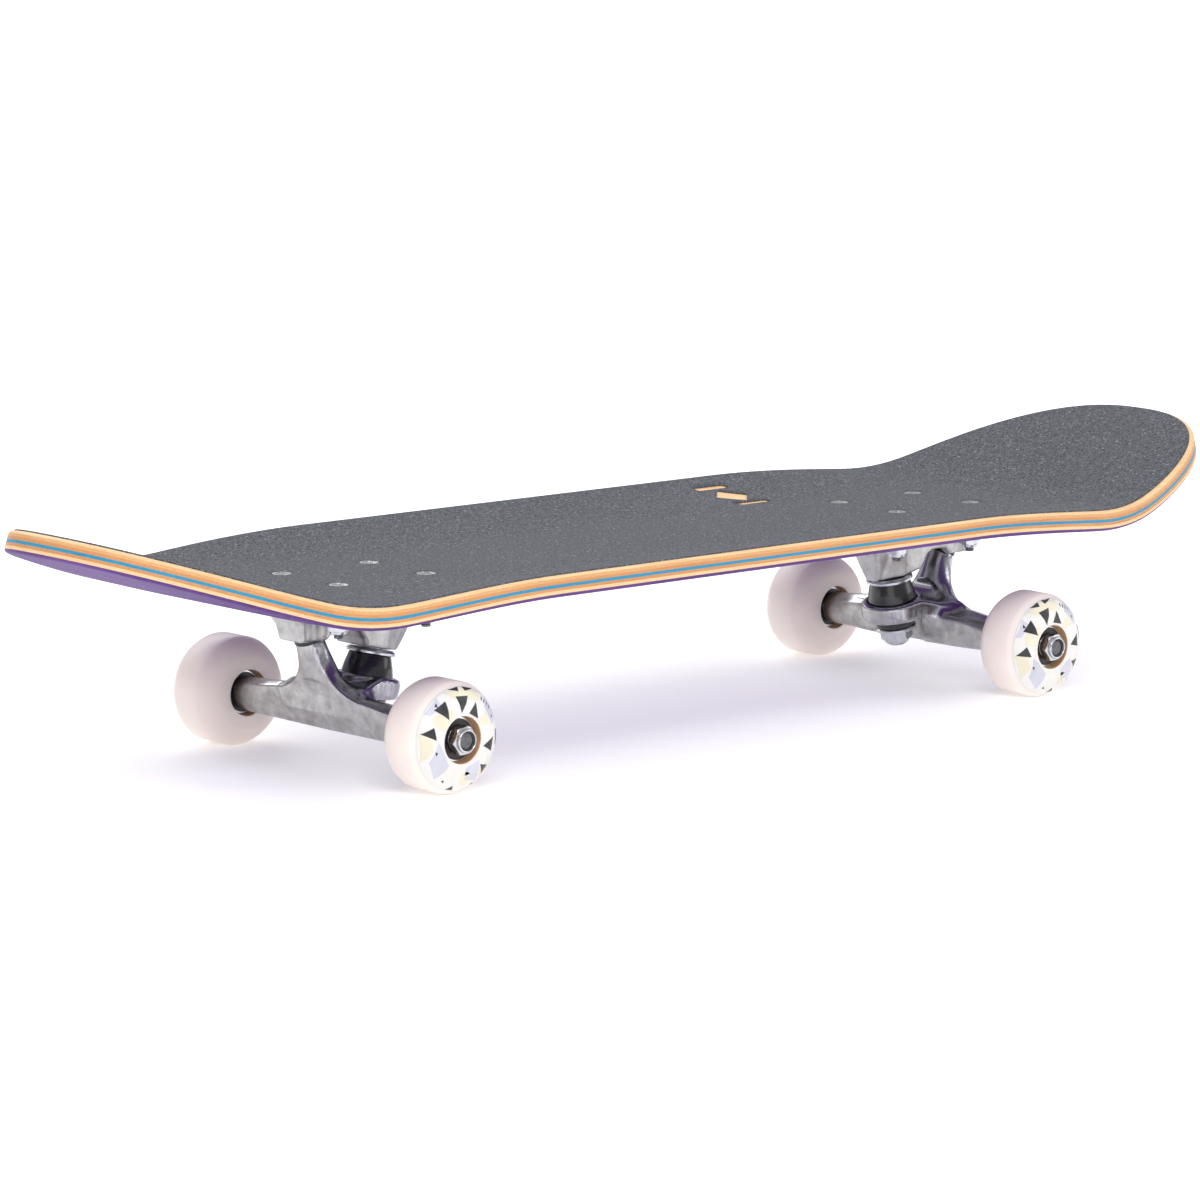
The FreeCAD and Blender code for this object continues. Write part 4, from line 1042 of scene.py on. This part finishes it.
LIP = 17.0                    # where a wheel's flat face ends
TREAD_HALF = 7.2
BORE = 11.0
SHOULDER_ROUND = 13.5
PRINT_EDGE = 24.7
GROUND_LIFT, PANEL_LIFT, INK_LIFT = 0.04, 0.10, 0.16
GROUND, CREAM, MIST, CHARCOAL = 2, 3, 4, 5   # materials of a wheel after its urethane and the painted shade of its bore


def shoulder_arc(count=14):
    """Points (radius, height) of the rounded shoulder from the flat face to the tread."""
    start, end = np.array([LIP, WHEEL_HALF]), np.array([WHEEL_RADIUS, TREAD_HALF])
    radius = SHOULDER_ROUND
    chord = end - start
    length = np.linalg.norm(chord)
    inward = np.array([chord[1], -chord[0]]) / length
    centre = (start + end) / 2 + inward * math.sqrt(radius**2 - length**2 / 4)
    first = math.atan2(*(start - centre)[::-1])
    last = math.atan2(*(end - centre)[::-1])
    return [tuple(centre + radius * np.array([math.cos(angle), math.sin(angle)]))
            for angle in np.linspace(first, last, count)]


SHOULDER_POINTS = shoulder_arc()


def face_height(radius):
    """Height of a wheel's outer face at a radius."""
    radii, heights = zip(*SHOULDER_POINTS)
    return np.interp(radius, radii, heights)


def polar(*points):
    """Corners given as (radius, degrees) in the plane of a wheel's face."""
    return [(radius * math.cos(math.radians(angle)), radius * math.sin(math.radians(angle)))
            for radius, angle in points]


def chip(corners, lift, material):
    """A thin chip of ink that follows the wheel's face: finely split, closed, its top lifted a little."""
    work = bmesh.new()
    work.faces.new([work.verts.new((x, y, 0)) for x, y in corners])
    bmesh.ops.triangulate(work, faces=work.faces)
    for _ in range(5):
        long_edges = [edge for edge in work.edges if edge.calc_length() > 1.1]
        if long_edges:
            bmesh.ops.subdivide_edges(work, edges=long_edges, cuts=1)
            bmesh.ops.triangulate(work, faces=work.faces)
    work.verts.index_update()
    flat = np.array([(vert.co.x, vert.co.y) for vert in work.verts])
    top = face_height(np.hypot(flat[:, 0], flat[:, 1]))
    count = len(flat)
    verts = np.vstack([np.column_stack([flat, top + lift]), np.column_stack([flat, top - 0.1])])
    faces = [[vert.index for vert in face.verts] for face in work.faces]
    faces += [[index + count for index in face[::-1]] for face in list(faces)]
    for edge in work.edges:
        if edge.is_boundary:
            a, b = (vert.index for vert in edge.verts)
            faces.append([a, b, b + count, a + count])
    work.free()
    return Shape(verts, faces, material)


def ring_sector(inner, outer, start, end, steps=10):
    """Corners of a sector of a ring."""
    angles = [start + (end - start) * number / steps for number in range(steps + 1)]
    return polar(*[(outer, angle) for angle in angles], *[(inner, angle) for angle in reversed(angles)])


PANELS = [
    (CREAM, polar((19.6, 62), (23.9, 66), (24.3, 92), (24.2, 116), (20.0, 108), (19.2, 86))),
    (CREAM, polar((12.8, 122), (16.5, 118), (21.0, 146), (20.0, 158), (13.5, 160))),
    (CREAM, polar((19.0, 170), (24.2, 172), (24.3, 205), (18.5, 196))),
    (CREAM, [(3.0 + x, y - 18.2) for x, y in polar(*[(3.4, angle) for angle in range(0, 360, 24)])]),
    (CREAM, polar((12.8, 30), (17.2, 24), (18.2, 44), (13.0, 46))),
    (CREAM, polar((18.0, -58), (24.0, -52), (24.2, -34), (19.6, -30))),
    (MIST, polar((13.0, 196), (15.0, 182), (21.2, 208), (22.8, 232), (14.0, 236))),
    (MIST, polar((18.6, 20), (24.2, 26), (24.4, 52), (19.4, 50))),
    (MIST, polar((13.2, 282), (18.6, 276), (22.4, 300), (14.4, 318))),
    (MIST, polar((21.0, 128), (24.3, 126), (24.3, 150), (22.2, 148))),
]
SLIVERS = [
    ((12.9, 99), (20.6, 84), (21.0, 104)), ((13.6, 134), (21.4, 121), (22.2, 140)),
    ((19.0, 160), (16.4, 178), (23.6, 172)), ((12.7, 78), (12.8, 50), (18.6, 70)),
    ((13.0, -14), (18.6, 3), (18.8, -18)), ((16.2, -46), (21.0, -36), (21.2, -50)),
    ((21.4, 12), (22.9, 9), (23.4, -9), (21.6, -8)), ((22.6, 96), (24.4, 94), (24.4, 108)),
    ((22.6, 86), (24.4, 88), (24.4, 72)), ((21.6, 262), (24.0, 256), (23.8, 266)),
    ((16.0, 199), (17.3, 196), (17.4, 203)), ((20.6, 243), (21.6, 241), (21.7, 246)),
    ((19.4, 30), (20.8, 29), (20.6, 33)), ((21.6, 134), (23.2, 131), (22.8, 136)),
    ((22.6, -66), (23.6, -62), (23.8, -68)),
]


def print_shapes():
    """A generic pattern on a pale ground: panels, dark slivers and four tick marks."""
    ground = [ring_sector(12.2, PRINT_EDGE, start, start + 45, 8) for start in range(0, 360, 45)]
    ticks = [ring_sector(21.0, 22.6, angle, angle + 1.6, 2) for angle in (41, 46.5, 52, 57.5)]
    dark = [polar(*corners) for corners in SLIVERS] + ticks
    return ([chip(corners, GROUND_LIFT, GROUND) for corners in ground]
            + [chip(corners, PANEL_LIFT, colour) for colour, corners in PANELS]
            + [chip(corners, INK_LIFT, CHARCOAL) for corners in dark])


def wheel_shape():
    """A wheel about its axis: urethane, with its bore wall painted a warm tan as painted shade."""
    lip = rounded([(BORE, 5.0), (BORE, WHEEL_HALF, 0.9), (LIP, WHEEL_HALF)], 5)[1:-1]
    upper = [(BORE, 5.0)] + lip + SHOULDER_POINTS
    lower = [(radius, -height) for radius, height in reversed(upper)]
    rib = [(9.4, -5.0), (9.4, 5.0)]
    tyre = lathe(upper + [(WHEEL_RADIUS, 0.0)] + lower + rib, 160)
    # Faces in the bore take the warm tan painted shade.
    in_bore = np.hypot(tyre.verts[:, 0], tyre.verts[:, 1]) < BORE + 0.3
    tyre.materials = [int(all(in_bore[index] for index in face)) for face in tyre.faces]
    return tyre


def outer_ring(start):
    """A bearing's outer ring, grooved inside for its two shields."""
    stop = start + 7
    return lathe(rounded([(9.7, start), (BORE, start, 0.4), (BORE, stop, 0.4), (9.7, stop), (9.7, stop - 0.6),
                          (9.1, stop - 0.6), (9.1, start + 0.6), (9.7, start + 0.6)]))


def make_wheels():
    """Each wheel with its print, and the outer rings and shields of its two bearings."""
    bearings = (-12.0, 5.0)
    wheel = joined([wheel_shape()] + print_shapes())
    rings = joined([outer_ring(start) for start in bearings])
    shields = joined([tube(6.2, 9.7, start + inward, start + inward + 0.4)
                      for start in bearings for inward in (0.2, 6.4)])
    for end, side, turn in (("front", "left", 151), ("front", "right", 14), ("rear", "left", 87),
                            ("rear", "right", -4)):
        corner = f"{end}_{side}"
        upright = turned_about(180 if side == "left" else 0)
        place = axle_place(end, side) @ Matrix.Translation((0, 0, WHEEL_OUT)) @ upright @ turned_about(turn)
        for name, shape, paints, node, slot in (
                ("wheel_tyre", wheel, [WHEEL, BORE_PAINTED_SHADE] + INKS, "wheel", "wheel_urethane"),
                ("outer_rings", rings, [RACE], "bearing_outer_races", "bearing_steel"),
                ("seals", shields, [SHIELD], "bearing_shields", "bearing_shield")):
            piece = make(f"{corner}_{name}", shape.moved(place), paints, sharp=50 if shape is wheel else 38)
            finish_piece(piece, f"{corner}_wheel", f"{corner}_{node}")


HIDDEN_LOOKS = {"pivot_cup": CUP, "bearing_spacers": SPACER, "bearing_balls": RACE, "bearing_cages": CAGE}


def paint_hidden_nodes():
    """The pieces kept from the CAD model get their materials: cups, spacers, balls and cages."""
    for name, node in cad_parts.items():
        for ending, paint in HIDDEN_LOOKS.items():
            if name.endswith(ending):
                node.data.materials.clear()
                node.data.materials.append(paint)


# ---------------------------------------------------------------- stage, light and camera


def area_light(name, place, height, size, power):
    """A soft rectangular light aimed at a height over the middle of the board."""
    data = bpy.data.lights.new(name, "AREA")
    data.shape = "RECTANGLE"
    data.size, data.size_y = size
    data.energy = power
    lamp = bpy.data.objects.new(name, data)
    lamp.location = place
    lamp.rotation_euler = (Vector((0, 0, height)) - lamp.location).to_track_quat("-Z", "Y").to_euler()
    SCENE.collection.objects.link(lamp)


def make_sky():
    """A white backdrop to the camera; to the object, a room with darker walls and a bright ceiling."""
    world = bpy.data.worlds.new("studio")
    world.use_nodes = True
    tree = world.node_tree
    nodes, links = tree.nodes, tree.links
    place = nodes.new("ShaderNodeTexCoord").outputs["Generated"]
    split = nodes.new("ShaderNodeSeparateXYZ")
    links.new(place, split.inputs[0])
    walls = nodes.new("ShaderNodeValToRGB")
    walls.color_ramp.elements[0].position = 0.02
    walls.color_ramp.elements[0].color = (0.40, 0.39, 0.40, 1)
    walls.color_ramp.elements[1].position = 0.75
    walls.color_ramp.elements[1].color = (1.0, 1.0, 1.0, 1)
    links.new(split.outputs["Z"], walls.inputs[0])
    seen = nodes.new("ShaderNodeLightPath")
    mix = nodes.new("ShaderNodeMix")
    mix.data_type = "RGBA"
    links.new(seen.outputs["Is Camera Ray"], mix.inputs["Factor"])
    links.new(walls.outputs["Color"], mix.inputs[6])
    mix.inputs[7].default_value = (1.15, 1.15, 1.15, 1)
    links.new(mix.outputs[2], nodes["Background"].inputs["Color"])
    nodes["Background"].inputs["Strength"].default_value = 1.0
    SCENE.world = world


def make_stage():
    """A wide pale floor, the sky, and four soft lights."""
    floor_paint = Paint("studio_floor", roughness=0.7, base_color=(0.93, 0.93, 0.93, 1.0))
    floor_paint.shader.inputs["Specular IOR Level"].default_value = 0.2
    floor_paint.shader.inputs["Emission Color"].default_value = (1.0, 1.0, 1.0, 1.0)
    floor_paint.shader.inputs["Emission Strength"].default_value = 0.3
    corners = [(x, y, 0) for x, y in rectangle(0, 0, 60000.0, 60000.0)]
    floor = make("studio_floor", Shape(corners, [(0, 1, 2, 3)]), [floor_paint.material], outward=False)
    make_sky()
    area_light("key", (-1.3, -1.5, 1.9), 0.05, (1.5, 1.1), 26.0)
    area_light("fill", (1.9, -1.2, 1.0), 0.05, (1.2, 1.4), 9.0)
    area_light("low_fill", (-1.9, -1.9, 0.45), 0.05, (1.6, 0.8), 4.5)
    area_light("rim", (0.4, 2.0, 1.5), 0.08, (2.4, 0.8), 20.0)
    SCENE.view_settings.view_transform = "Standard"


def make_camera():
    """A long lens, low and off the board's right side, looking towards the nose end."""
    azimuth, elevation, roll = math.radians(-43.47), math.radians(9.4), math.radians(0.87)
    distance = 2803.56 * MM
    focal_share = 4.7358          # focal length over the width of the picture
    back = Vector((math.sin(azimuth) * math.cos(elevation), -math.cos(azimuth) * math.cos(elevation),
                   math.sin(elevation)))
    across = Vector((math.cos(azimuth), math.sin(azimuth), 0))
    up = back.cross(across)
    right = across * math.cos(roll) + up * math.sin(roll)
    head = up * math.cos(roll) - across * math.sin(roll)
    data = bpy.data.cameras.new("camera")
    data.sensor_width = 36.0
    data.lens = 36.0 * focal_share
    data.clip_end = 100.0
    camera = bpy.data.objects.new("camera", data)
    target = Vector((0, 0, 60 * MM))
    aside, below = 20.3 * MM, 0.94 * MM      # how far the picture's middle lies from the target
    aim = target - right * aside - head * below
    place = target + back * distance
    behind = (place - aim).normalized()
    right = (right - behind * right.dot(behind)).normalized()
    head = behind.cross(right)
    camera.matrix_world = Matrix((
        (right.x, head.x, behind.x, place.x), (right.y, head.y, behind.y, place.y),
        (right.z, head.z, behind.z, place.z), (0, 0, 0, 1)))
    SCENE.collection.objects.link(camera)
    SCENE.camera = camera


make_stage()
make_camera()
make_plies()
make_griptape()
make_castings()
for truck_end in ("front", "rear"):
    make_cup_washers(truck_end)
    make_bushings(truck_end)
    make_kingpin(truck_end)
    make_axle_parts(truck_end)
make_deck_hardware()
make_wheels()
paint_hidden_nodes()
